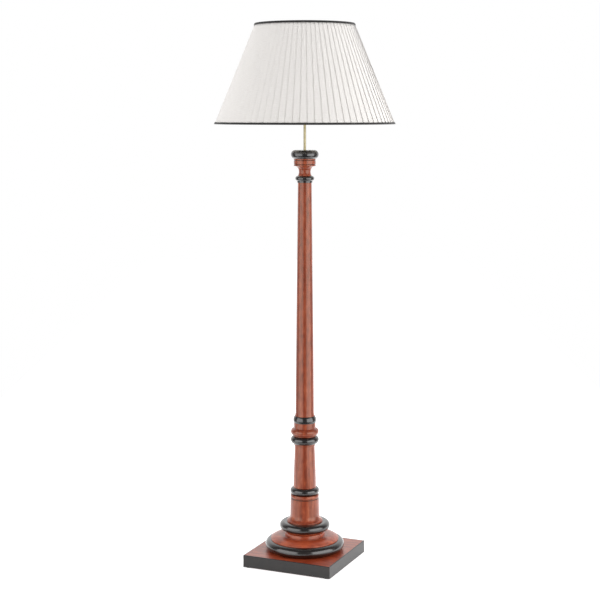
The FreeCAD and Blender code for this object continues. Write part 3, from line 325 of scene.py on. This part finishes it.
# ---- plinth board --------------------------------------------------------------------------------
# A square of solid cherry with its grain from left to right, hollowed underneath for the ballast,
# stained a warm red-brown and given a clear satin lacquer.
def cherry(name, shift, flat=False, shaded_grooves=()):
    """Stained cherry under a clear satin lacquer. Growth rings lie about a pith line beside the
    piece, bent by a slow noise; fibres are a fine noise drawn out along the grain; a cross mottle
    lightens and darkens them in patches; and the darkest spots of a finer drawn-out noise are
    pores. The grain runs upright, or from left to right on a flat blank, which is also painted
    paler as painted light from above. Painted shade darkens the cut grooves, each given by its
    height and half its width in metres."""
    made, tree, shader, place = finish(name, Roughness=0.36, Specular_IOR_Level=0.5,
                                       Specular_Tint=(1.0, 0.72, 0.42, 1.0), Coat_Weight=0.7,
                                       Coat_Roughness=0.22, Coat_IOR=1.5)
    turn = (0.0, np.pi / 2, 0.0) if flat else (0.0, 0.0, 0.0)
    grain = node(tree, "Mapping", Vector=place, Location=shift, Rotation=turn).outputs[0]
    along = node(tree, "Mapping", Vector=grain, Scale=(1, 1, 0.10)).outputs[0]
    rings = node(tree, "TexWave", {"wave_type": "RINGS", "rings_direction": "Z"}, Vector=along,
                 Scale=22.0, Distortion=11.0, Detail=4.0, Detail_Scale=1.1,
                 Detail_Roughness=0.65).outputs["Fac"]
    fibres = noise(tree, grain, 520, (1, 1, 0.045), 4.0, 0.65)
    mottle = noise(tree, grain, 75, (1, 1, 0.45), 2.5, 0.55)
    pores = between(tree, noise(tree, grain, 1500, (1, 1, 0.05), 1.0), 0.0, 1.0, 0.62, 0.72)
    figure = sum_of(tree, "MULTIPLY", rings, 0.12)
    figure = sum_of(tree, "ADD", figure, sum_of(tree, "MULTIPLY", fibres, 0.30))
    figure = sum_of(tree, "ADD", figure, sum_of(tree, "MULTIPLY", mottle, 0.58))
    painted_top_light = 26 if flat else 2          # painted light: a flat piece faces up, so it is painted paler
    stained = [(0.30, 98, 32, 16), (0.46, 124, 46, 25), (0.58, 142, 60, 35), (0.74, 168, 84, 52)]
    wood = ramp(tree, figure, *[(at, colour(red + painted_top_light, green + painted_top_light / 2, blue + painted_top_light / 3))
                                for at, red, green, blue in stained])
    wood = tint(tree, sum_of(tree, "MULTIPLY", pores, 0.35), wood, colour(66, 22, 12))
    height = node(tree, "SeparateXYZ", Vector=place).outputs["Z"]
    # painted shade: each cut groove is darkened towards colour(40, 12, 8)
    for groove, half in shaded_grooves:
        off = sum_of(tree, "ABSOLUTE", sum_of(tree, "SUBTRACT", height, groove), 0.0)
        wood = tint(tree, between(tree, off, 0.85, 0.0, half * 0.6, half * 1.3), wood, colour(40, 12, 8))
    tree.links.new(wood, shader.inputs["Base Color"])
    relief(tree, shader, sum_of(tree, "SUBTRACT", fibres, pores), 0.00006)
    return made


def dress(material, *names):
    """Gives CAD nodes a material."""
    for name in names:
        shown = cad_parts[name]
        if not shown.data.materials:
            shown.data.materials.append(material)
        for place in shown.material_slots:
            place.material = material


# painted light: the board's upward face is painted paler through flat=True
dress(cherry("cherry_board", (0.31, 0.055, 0.12), flat=True), "plinth_board")


# ---- edging --------------------------------------------------------------------------------------
# Four mitred strips of close-grained wood round the board, stained black and lacquered. The grain
# still shows as fine lengthwise lines.
def ebony(name, rough, coat_rough, coat_ior):
    """Ebonised wood under black lacquer: near black with a brown breath, mottled by a slow noise,
    with a faint lengthwise grain and slight unevenness in the lacquer."""
    made, tree, shader, place = finish(name, Roughness=rough, Specular_IOR_Level=0.15,
                                       Coat_Weight=1.0, Coat_Roughness=coat_rough, Coat_IOR=coat_ior)
    cloud = noise(tree, place, 60, detail=3.0)
    lines = noise(tree, place, 700, (1, 1, 0.08), 3.0, 0.6)
    shade = sum_of(tree, "ADD", sum_of(tree, "MULTIPLY", cloud, 0.6),
                   sum_of(tree, "MULTIPLY", lines, 0.4))
    colours(tree, shader, shade, (0.3, colour(9, 6, 6)), (0.55, colour(18, 12, 11)),
            (0.75, colour(32, 22, 19)))
    relief(tree, shader, sum_of(tree, "ADD", cloud, sum_of(tree, "MULTIPLY", lines, 0.3)), 0.00008)
    return made


lipping = ebony("ebonised_edging", 0.5, 0.34, 1.45)
dress(lipping, "edging_front", "edging_right", "edging_rear", "edging_left")


# ---- bottom cover and ballast --------------------------------------------------------------------
# A sheet of brown hardboard, screwed into the plinth's rebate, closes the recess. A cast-iron plate
# behind it, dull grey and sandy, keeps the lamp upright.
hardboard, tree, shader, place = finish("hardboard", Roughness=0.62)
pulp = noise(tree, place, 260, detail=5.0, roughness=0.7)
specks = between(tree, noise(tree, place, 900, (1, 0.4, 1), 2.0), 0.0, 1.0, 0.6, 0.72)
brown = ramp(tree, pulp, (0.3, colour(92, 62, 38)), (0.7, colour(138, 98, 62)))
brown = tint(tree, sum_of(tree, "MULTIPLY", specks, 0.5), brown, colour(60, 38, 24))
tree.links.new(brown, shader.inputs["Base Color"])
relief(tree, shader, pulp, 0.0001)
dress(hardboard, "bottom_cover")

iron, tree, shader, place = finish("cast_iron", Metallic=0.4)
sand = noise(tree, place, 700, detail=4.0, roughness=0.7)
colours(tree, shader, sand, (0.3, colour(44, 45, 47)), (0.7, colour(74, 75, 77)))
tree.links.new(between(tree, sand, 0.5, 0.8), shader.inputs["Roughness"])
relief(tree, shader, sand, 0.0004)
dress(iron, "ballast_plate")

# ---- steel hardware ------------------------------------------------------------------------------
# Zinc-plated screws, and the threaded tube with its nuts and washers that clamps the column to the
# plinth. Plating has a fine spangle, and its shine differs a little from crystal to crystal.
zinc, tree, shader, place = finish("zinc_plate", Metallic=1.0)
spangle = node(tree, "TexVoronoi", Vector=place, Scale=700.0).outputs["Color"]
grey = node(tree, "SeparateColor", Color=spangle).outputs["Red"]
colours(tree, shader, grey, (0.0, colour(168, 170, 172)), (1.0, colour(206, 206, 202)))
tree.links.new(between(tree, grey, 0.24, 0.42), shader.inputs["Roughness"])
relief(tree, shader, noise(tree, place, 1400, detail=2.0), 0.00003)
dress(zinc, "cover_screws", "ballast_screws", "tie_tube", "tie_nuts", "tie_washers", "clamp_screws")


# ---- large ring ----------------------------------------------------------------------------------
# Half-round ring, 248 mm across and 32 mm high, of close-grained wood turned, stained black and
# polished to a gloss. The mound's broad tenon passes through it.
def low_of(name):
    """Height of a CAD node's lowest point, in millimetres."""
    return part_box(name)[0].z / mm


def top_of(name):
    """Height of a CAD node's highest point, in millimetres."""
    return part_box(name)[1].z / mm


def half_round(name, stands_for, radius, bore, columns):
    """Flat ring with a half-round edge: flat from the bore to half its height short of the
    radius, and an arc round from the lower face to the upper one."""
    low, top = low_of(stands_for), top_of(stands_for)
    flat = radius - (top - low) / 2
    points = outline((bore, low), (flat, low), ((radius, (low + top) / 2), (flat, top)), (bore, top))
    return piece(name, *turned(softened(points, 0.5), columns), polish, "stand", "ebonised", stands_for)


polish = ebony("black_polish", 0.30, 0.17, 1.72)
half_round("large_ring", "base_ring", 124.0, 60.1, 160)


# ---- mound ---------------------------------------------------------------------------------------
# Faceplate-turned cherry: a thin edge, a swelling slope, an upright fillet and a cove up to the
# small ring. The grain lies flat, as in the plinth's board.
def upright(r_upright, z_upright, r_end, z_end):
    """Middle of the arc that stands upright at its first end and runs to the second."""
    dr, dz = r_end - r_upright, z_end - z_upright
    radius = (dr * dr + dz * dz) / (2 * abs(dr))
    half = np.arcsin(np.clip(dz / radius, -1, 1)) / 2
    return r_upright + np.sign(dr) * radius * (1 - np.cos(half)), z_upright + radius * np.sin(half)


z = top_of("base_ring")
points = outline((5.5, z - 31.8), (60, z - 31.8), (60, z), (106.5, z), (106.5, z + 4),
                 ((85.3, z + 12.9), (62.3, z + 13)), (61, z + 22.5),
                 (upright(55.5, z + 30.7, 61, z + 22.5), (55.5, z + 30.7)), (20.1, z + 30.7),
                 (20.1, z + 9.7), (5.5, z + 9.7))
# painted light: the mound faces up and is painted paler through flat=True
piece("mound", *turned(softened(points, 0.6), 160),
      cherry("cherry_mound", (0.02, 0.068, 0.31), flat=True), "stand", "cherry", "base_mound")

# ---- small ring ----------------------------------------------------------------------------------
# The same half-round ring again, 158 mm across, between the mound and the drum.
half_round("middle_ring", "small_ring", 78.8, 20.1, 128)

# ---- drum ----------------------------------------------------------------------------------------
# The column's foot: upright grain from here on. It flares out to a thin edge at the bottom, and has
# a cut groove and a shallow bead under the next ring.
z = top_of("small_ring")
points = outline((5.5, z - 46.5), (20, z - 46.5), (20, z), (56, z), (56, z + 3.5),
                 (upright(45.8, z + 21, 56, z + 3.5), (45.8, z + 21)), (44.6, z + 72.9),
                 ((42.8, z + 74.5), (43.2, z + 76.1)), ((44.8, z + 81.3), (43.2, z + 86.5)),
                 (13, z + 86.5), (13, z + 129.5), (5.5, z + 129.5))
# painted shade: the drum's cut groove is darkened in its wood colour
drum_groove_shade = ((z + 74.5) * mm, 1.6 * mm)
piece("drum", *turned(softened(points, 0.4), 128),
      cherry("cherry_drum", (0.055, 0.03, 0.4), shaded_grooves=[drum_groove_shade]), "stand", "cherry", "column_foot")
half_round("drum_ring", "foot_ring", 45.5, 13.1, 112)

# ---- lower column --------------------------------------------------------------------------------
# Plain at the bottom, then easing into a taper, with a proud fillet at the top. A tenon on it passes
# up through the whole knop into the upper column.
z = top_of("foot_ring")
points = outline((13.1, z), (35.5, z), (35.5, z + 11.5),
                 (upright(35.5, z + 11.5, 34.68, z + 50), (34.68, z + 50)), (31.4, z + 134),
                 (33.6, z + 134), (33.6, z + 139), (13, z + 139), (13, z + 247.2),
                 (5.5, z + 247.2), (5.5, z + 21), (13.1, z + 21))
piece("lower_shaft", *turned(softened(points, 0.4), 112), cherry("cherry_lower", (0.02, 0.062, 0.1)),
      "stand", "cherry", "lower_column")

# ---- knop ----------------------------------------------------------------------------------------
# A cherry bead with a tall fillet above it, between a half-round black ring and a crowned black one.
half_round("knop_ring", "knop_low_ring", 44.3, 13.1, 112)
z = top_of("knop_low_ring")
points = outline((13.1, z), (36.6, z), (36.6, z + 2.4), ((43.7, z + 13.65), (34.2, z + 24.9)),
                 (34.2, z + 42.2), (13.1, z + 42.2))
piece("knop_swell", *turned(softened(points, 0.5), 112), cherry("cherry_knop", (0.06, 0.02, 0.7)),
      "stand", "cherry", "knop_bead")
z = top_of("knop_bead")
points = outline((13.1, z), (34.7, z), ((35.9, z + 10), (31.8, z + 21)), (13.1, z + 21))
piece("knop_crown", *turned(softened(points, 0.5), 112), polish, "stand", "ebonised", "knop_top_ring")

# ---- upper column --------------------------------------------------------------------------------
# A single length of cherry, flared at its foot and tapered straight from 58 mm to 42 mm across.
z = top_of("knop_top_ring")
points = outline((13.1, z), (31, z), (upright(29.1, z + 11.5, 31, z), (29.1, z + 11.5)),
                 (21, z + 724.6), (10, z + 724.6), (10, z + 754.1), (5.5, z + 754.1),
                 (5.5, z + 21), (13.1, z + 21))
piece("upper_shaft", *turned(softened(points, 0.4), 112), cherry("cherry_upper", (0.034, 0.048, 0.0)),
      "stand", "cherry", "upper_column")

# ---- neck ring -----------------------------------------------------------------------------------
# Black half-round ring over a black fillet, turned in one.
z = low_of("neck_ring")
points = outline((10.1, z), (23.4, z), (23.4, z + 5.2), ((28.9, z + 12.85), (21.25, z + 20.5)),
                 (10.1, z + 20.5))
piece("neck_band", *turned(softened(points, 0.4), 96), polish, "stand", "ebonised", "neck_ring")

# ---- cup -----------------------------------------------------------------------------------------
# Cherry cup: a hollow neck that opens out under a plain collar with two cut grooves. The nut on the
# tie tube is sunk in its top.
z = low_of("cup")
points = outline((10.1, z), (21.2, z), (upright(17.7, z + 12.3, 21.2, z), (17.7, z + 12.3)),
                 (upright(17.7, z + 12.3, 28.3, z + 30), (28.3, z + 30)), (33.3, z + 30),
                 (33.3, z + 33.4), ((31.9, z + 34.5), (33.3, z + 35.6)), (33.3, z + 46.2),
                 ((31.9, z + 47.3), (33.3, z + 48.4)), (33.3, z + 51.8), (12, z + 51.8),
                 (12, z + 30.2), (5.5, z + 30.2), (5.5, z + 10), (10.1, z + 10))
# painted shade: the collar's two cut grooves are darkened in its wood colour
collar_groove_shade = [((z + up) * mm, 1.1 * mm) for up in (34.5, 47.3)]
piece("cup_collar", *turned(softened(points, 0.35), 112),
      cherry("cherry_cup", (0.05, 0.045, 0.9), shaded_grooves=collar_groove_shade), "stand", "cherry", "cup")

# ---- cap -----------------------------------------------------------------------------------------
# Black cap, 85 mm across: a cove up to its widest line and a quarter round over to a flat top.
z = low_of("cap")
points = outline((11, z), (34.2, z), (upright(42.3, z + 13.5, 34.2, z), (42.3, z + 13.5)),
                 (upright(42.3, z + 13.5, 29.3, z + 26.5), (29.3, z + 26.5)), (4.15, z + 26.5),
                 (4.15, z + 16.5), (11, z + 16.5))
piece("cap_turning", *turned(softened(points, 0.4), 112), polish, "stand", "ebonised", "cap")

# ---- brass ---------------------------------------------------------------------------------------
# Drawn brass tube for the riser and spun brass for the lampholder, polished and lacquered. Handling
# has left it unevenly bright, and faint draw lines run up it.
brass, tree, shader, place = finish("lacquered_brass", Metallic=1.0, Coat_Weight=0.4, Coat_Roughness=0.08)
handling = noise(tree, place, 90, detail=3.0)
draw = noise(tree, place, 2600, (1, 1, 0.01), 2.0)
colours(tree, shader, handling, (0.3, colour(146, 136, 104)), (0.7, colour(170, 160, 126)))
tree.links.new(between(tree, handling, 0.28, 0.38), shader.inputs["Roughness"])
relief(tree, shader, draw, 0.00002)
dress(brass, "riser", "riser_coupling", "holder_cap", "holder_skirt", "screw_shell", "centre_contact",
      "seat_ring", "shade_ring")

# ---- lampholder insert ---------------------------------------------------------------------------
# Glazed porcelain cup that carries the screw shell, cream white with faint specks in the glaze.
porcelain, tree, shader, place = finish("glazed_porcelain", Roughness=0.22, Coat_Weight=1.0,
                                        Coat_Roughness=0.05)
body = noise(tree, place, 160, detail=3.0)
specks = between(tree, noise(tree, place, 1800), 0.0, 1.0, 0.68, 0.76)
cream = ramp(tree, body, (0.3, colour(228, 224, 212)), (0.7, colour(242, 239, 230)))
tree.links.new(tint(tree, sum_of(tree, "MULTIPLY", specks, 0.25), cream, colour(150, 138, 118)),
               shader.inputs["Base Color"])
relief(tree, shader, body, 0.0001)
dress(porcelain, "holder_insert")

# ---- switch knob ---------------------------------------------------------------------------------
# Pressed black phenolic knob, fluted for grip, with the fine brown mottle of that plastic.
phenolic, tree, shader, place = finish("black_phenolic", Roughness=0.3, Coat_Weight=0.3,
                                       Coat_Roughness=0.2)
mottle = noise(tree, place, 420, detail=4.0, roughness=0.65)
colours(tree, shader, mottle, (0.35, colour(20, 18, 17)), (0.7, colour(46, 34, 27)))
relief(tree, shader, mottle, 0.00004)
dress(phenolic, "switch_knob", "bulb_contact")

# ---- bulb ----------------------------------------------------------------------------------------
# Opal glass globe bulb. Its screw cap is pressed brass with a real round thread of 3.6 mm pitch;
# the black insulator and tip are under it.
opal, tree, shader, place = finish("opal_glass", Roughness=0.25, Coat_Weight=1.0, Coat_Roughness=0.03,
                                   Subsurface_Weight=0.25, Subsurface_Radius=(0.004, 0.004, 0.004))
milk = noise(tree, place, 45, detail=3.0)
colours(tree, shader, milk, (0.3, colour(236, 235, 230)), (0.7, colour(246, 245, 241)))
relief(tree, shader, milk, 0.0001)
dress(opal, "bulb_glass")

thread_root, thread_depth, thread_pitch, thread_columns = 12.3, 0.9, 3.6, 60
thread_fade, lead_in, lead_height = 3.0, 0.8, 2.0
low, top = low_of("bulb_cap"), top_of("bulb_cap")
rise = np.linspace(0, top - low, 73)[:, None]
turn = np.linspace(0, 2 * np.pi, thread_columns, endpoint=False)
# The thread: radius = root + depth x half a cosine wave of height over pitch less turns, which
# fades to the plain root over the first and last three millimetres. The root narrows at the
# bottom, so that the cap leads into the screw shell.
fade = np.clip(np.minimum(rise, top - low - rise) / thread_fade, 0, 1)
wave = 0.5 + 0.5 * np.cos(2 * np.pi * rise / thread_pitch - turn)
radius = thread_root - lead_in * np.clip(1 - rise / lead_height, 0, 1) + thread_depth * wave * fade
radius = np.concatenate([np.zeros((1, thread_columns)), radius, np.zeros((1, thread_columns))])
height = low + np.concatenate([rise[:1], rise, rise[-1:]]) + 0 * turn
points = np.stack([radius * np.cos(turn), radius * np.sin(turn), height], -1).reshape(-1, 3) * mm
piece("bulb_screw", points, grid_faces(len(radius), thread_columns, False, True), brass, "bulb",
      "brass", "bulb_cap")

# ---- shade frame ---------------------------------------------------------------------------------
# Steel wire rings, ribs and spokes, welded, with the flat ring that sits on the lampholder, all
# dipped in white paint that is a little thick and thin along the wire.
paint, tree, shader, place = finish("white_dip_paint", Coat_Weight=0.2, Coat_Roughness=0.2)
coat = noise(tree, place, 140, detail=3.0)
colours(tree, shader, coat, (0.3, colour(222, 221, 216)), (0.7, colour(238, 237, 233)))
tree.links.new(between(tree, coat, 0.3, 0.48), shader.inputs["Roughness"])
relief(tree, shader, coat, 0.00015)
dress(paint, "bottom_wire", "top_wire", "shade_ribs", "fitter_ring", "fitter_spokes")

# ---- lining --------------------------------------------------------------------------------------
# Stiff white sheet rolled into a cone, with a fine calendered grain, that the pleats are laid on.
lining, tree, shader, place = finish("lining_sheet", Roughness=0.5, Subsurface_Weight=0.1,
                                     Subsurface_Radius=(0.002, 0.002, 0.002))
grain = noise(tree, place, 1500, (1, 1, 0.3), 3.0, 0.6)
cloud = noise(tree, place, 14, detail=2.0)
share = sum_of(tree, "ADD", sum_of(tree, "MULTIPLY", grain, 0.4), sum_of(tree, "MULTIPLY", cloud, 0.6))
colours(tree, shader, share, (0.3, colour(232, 229, 221)), (0.7, colour(243, 241, 235)))
relief(tree, shader, grain, 0.00005)
dress(lining, "shade_lining")


# ---- pleated cover -------------------------------------------------------------------------------
# White pongee in 78 knife pleats. Each pleat takes the same 28.6 mm of cloth from rim to rim, so its
# fold laps the next by 3 mm at the bottom and 8 mm at the top. The pleats are hand laid: their
# folds wander a little.
pleats = 78
pleat_cloth = 28.6
shade_low, shade_top = low_of("bottom_trim"), top_of("top_trim")
cloth_low, cloth_top = shade_low + 1.0, shade_top - 1.0
trim_low, trim_top = 275.0, 151.0
under_braid = 1.65          # from the braid's face in to the folds
fold_depth = 3.0            # at the bottom rim
cover_wall = 0.8


def trim_radius(height):
    """Radius over the braid at a height: a straight cone from rim to rim."""
    return trim_low + (height - shade_low) / (shade_top - shade_low) * (trim_top - trim_low)


rows = 25
height = np.linspace(cloth_low, cloth_top, rows)[:, None, None]
crest = trim_radius(height) - under_braid
depth = fold_depth * crest / (trim_radius(cloth_low) - under_braid)
inner = (crest - depth - cover_wall) * np.cos(np.pi / pleats) + 0.2
pitch = 2 * np.pi * crest / pleats
lap = (pleat_cloth - pitch) / 2
# Path of one pleat across the cloth, as shares of its part behind the fold before it, of its open
# face and of the part turned back under. Rounded folds take the points close to each turn.
hidden = np.array([0.0, 0.1, 0.45, 0.8])
open_face = np.array([0.0, 0.2, 0.4, 0.6, 0.8, 0.92, 0.965, 0.985, 0.995])
under = np.array([0.0, 0.06, 0.16, 0.5, 0.9])
draw = np.random.default_rng(7)
wander = draw.normal(0, 1, (1, pleats, 4, 1))
share_up = np.linspace(0, 1, rows)[:, None]
waves = np.stack([np.sin(np.pi * share_up), np.sin(2 * np.pi * share_up + 1),
                  np.sin(3 * np.pi * share_up + 2), 0.5 + 0 * share_up], 2)
stray = 0.28 * (wander[..., 0] * waves).sum(-1)[..., None]
plump = 0.25 + 0.12 * draw.normal(0, 1, (1, pleats, 1))
# Round the rim, the face runs from the lap before the pleat to its fold. It rises steeply behind the
# fold before it, so that only a small step shows, then gently with a little swell. The turned-under
# part goes straight back from the fold to the next inner fold.
step = 0.5 * (crest - inner)
face = np.concatenate([hidden * lap, lap + open_face * pitch], 2) / (lap + pitch)
round_face = -lap + face * (pitch + lap) + stray * face
swell = plump * np.sin(np.pi * open_face) * (crest / 273)
out_face = np.concatenate([inner + (crest - inner - step) * hidden + 0 * plump,
                           crest - step + step * open_face + swell], 2)
round_under = pitch - under * lap + stray * (1 - under)
out_under = crest + (inner - crest) * under - 0.3 * np.sin(np.pi * under)
around = np.concatenate([round_face, round_under], 2) + pitch * np.arange(pleats)[None, :, None]
out = np.concatenate([out_face + 0 * round_face, out_under + 0 * round_under], 2)
around, out = around.reshape(rows, -1), out.reshape(rows, -1)
turn = -around / crest.reshape(rows, 1)
points = np.stack([out * np.cos(turn), out * np.sin(turn), height.reshape(rows, 1) + 0 * turn], -1)
points = points.reshape(-1, 3) * mm
columns = turn.shape[1]
cloth, tree, shader, place = finish("white_pongee", Roughness=0.85, Sheen_Weight=0.25,
                                    Sheen_Roughness=0.5)
threads = node(tree, "UVMap", {"uv_map": "cloth"}).outputs[0]
weft = node(tree, "TexWave", {"bands_direction": "Y"}, Vector=threads, Scale=700.0, Distortion=0.6,
            Detail=1.0).outputs["Fac"]
warp = node(tree, "TexWave", {"bands_direction": "X"}, Vector=threads, Scale=700.0, Distortion=0.6,
            Detail=1.0).outputs["Fac"]
slub = noise(tree, threads, 900, (0.03, 1, 1), 3.0, 0.6)
weave = sum_of(tree, "MAXIMUM", weft, warp)
tone = sum_of(tree, "ADD", sum_of(tree, "MULTIPLY", slub, 0.7), sum_of(tree, "MULTIPLY", weave, 0.3))
colours(tree, shader, tone, (0.3, colour(223, 219, 215)), (0.75, colour(236, 233, 230)))
relief(tree, shader, weave, 0.00006)
cover = piece("pleated_cover", points, grid_faces(rows, columns, False, True)[:, ::-1], cloth, "shade",
              "pleated_cloth", "shade_cover")
spread = np.concatenate([[0], np.cumsum(np.hypot(np.diff(around[0]), np.diff(out[0])))]) * mm
spread = np.append(spread, pleats * pleat_cloth * mm)
slant = float(np.hypot(cloth_top - cloth_low, trim_radius(cloth_low) - trim_radius(cloth_top)))
up = np.linspace(0, slant, rows) * mm
i, j = np.meshgrid(np.arange(rows - 1), np.arange(columns), indexing="ij")
laid = np.stack([np.stack([spread[j], up[i + 1]], -1), np.stack([spread[j + 1], up[i + 1]], -1),
                 np.stack([spread[j + 1], up[i]], -1), np.stack([spread[j], up[i]], -1)], 2)
cover.data.uv_layers.new(name="cloth").data.foreach_set("uv", laid.ravel())
wall = cover.modifiers.new("cloth_thickness", "SOLIDIFY")
wall.thickness = 0.22 * mm
wall.offset = -1.0


# ---- rim braid -----------------------------------------------------------------------------------
# Flat black cotton braid, 6 mm wide, glued round each rim and turned in over its edge. Its yarns
# slant up from both edges and meet in a row of points along its middle.
cotton, tree, shader, place = finish("black_cotton_braid", Roughness=0.8, Sheen_Weight=0.35,
                                     Sheen_Roughness=0.4)
strands = noise(tree, place, 1600, (1, 1, 0.4), 3.0, 0.6)
colours(tree, shader, strands, (0.3, colour(15, 14, 15)), (0.7, colour(46, 43, 43)))
relief(tree, shader, strands, 0.00025)


def braid(name, stands_for, edge, inward, stitches):
    """Braid round one rim. Its section is a flat band with round edges and a web turned in over
    the cloth. Relief cut into the band's face: the size of a sine of the turn round the rim plus
    the distance from the band's middle, which makes slanting yarns that meet in points."""
    share = np.array([0.0, 0.03, 0.12, 0.26, 0.38, 0.5, 0.62, 0.74, 0.88, 0.97, 1.0])
    proud = np.array([-0.55, -0.2, 0.0, 0.0, 0.0, 0.0, 0.0, 0.0, 0.0, -0.2, -0.55])
    width, web_thick, band_thick, relief_depth, slant_share = 6.0, 1.0, 1.6, 0.38, 1.6
    face_height = edge + inward * width * share
    web = edge + inward * web_thick
    bore = (trim_radius(web) - under_braid - fold_depth - cover_wall) * np.cos(np.pi / pleats) - 1.1
    far = edge + inward * 5.9
    back = np.array([(trim_radius(far) - band_thick, far), (trim_radius(web) - band_thick, web),
                     (bore, web), (bore, edge)])
    section_r = np.concatenate([trim_radius(face_height) + proud, back[:, 0]])[:, None]
    section_z = np.concatenate([face_height, back[:, 1]])[:, None]
    yarn = np.concatenate([np.minimum(1, 6 * share * (1 - share)), np.zeros(4)])[:, None]
    middle = np.concatenate([np.abs(share - 0.5), np.zeros(4)])[:, None]
    turn = np.linspace(0, 2 * np.pi, stitches * 4, endpoint=False)
    stitch = stitches * turn / (2 * np.pi) + slant_share * middle
    radius = section_r - relief_depth * yarn * np.abs(np.sin(np.pi * stitch))
    points = np.stack([radius * np.cos(turn), radius * np.sin(turn), section_z + 0 * turn], -1)
    faces = grid_faces(len(section_r), len(turn), True, True)
    faces = faces if inward > 0 else faces[:, ::-1]
    return piece(name, points.reshape(-1, 3) * mm, faces, cotton, "shade", "braid", stands_for)


braid("bottom_braid", "bottom_trim", shade_low, 1.0, 430)
braid("top_braid", "top_trim", shade_top, -1.0, 236)

# ---- wiring --------------------------------------------------------------------------------------
# White round flex up the middle of the lamp, a cream nylon terminal block, a black cord bush in the
# rear edge and a black clamp that would hold the mains cord.
jacket, tree, shader, place = finish("flex_jacket", Roughness=0.5)
scuff = noise(tree, place, 300, (1, 1, 0.2), 3.0)
colours(tree, shader, scuff, (0.3, colour(206, 203, 196)), (0.7, colour(226, 224, 218)))
relief(tree, shader, scuff, 0.0001)
dress(jacket, "inner_flex")

nylon, tree, shader, place = finish("moulded_nylon", Roughness=0.45)
spark = noise(tree, place, 1100, detail=3.0, roughness=0.6)
colours(tree, shader, spark, (0.3, colour(208, 200, 180)), (0.7, colour(224, 217, 200)))
relief(tree, shader, spark, 0.00006)
dress(nylon, "terminal_block")

moulded, tree, shader, place = finish("moulded_black", Roughness=0.48)
spark = noise(tree, place, 1100, detail=3.0, roughness=0.6)
colours(tree, shader, spark, (0.3, colour(20, 20, 21)), (0.7, colour(38, 38, 39)))
relief(tree, shader, spark, 0.00006)
dress(moulded, "cord_inlet", "clamp_block", "clamp_bar")
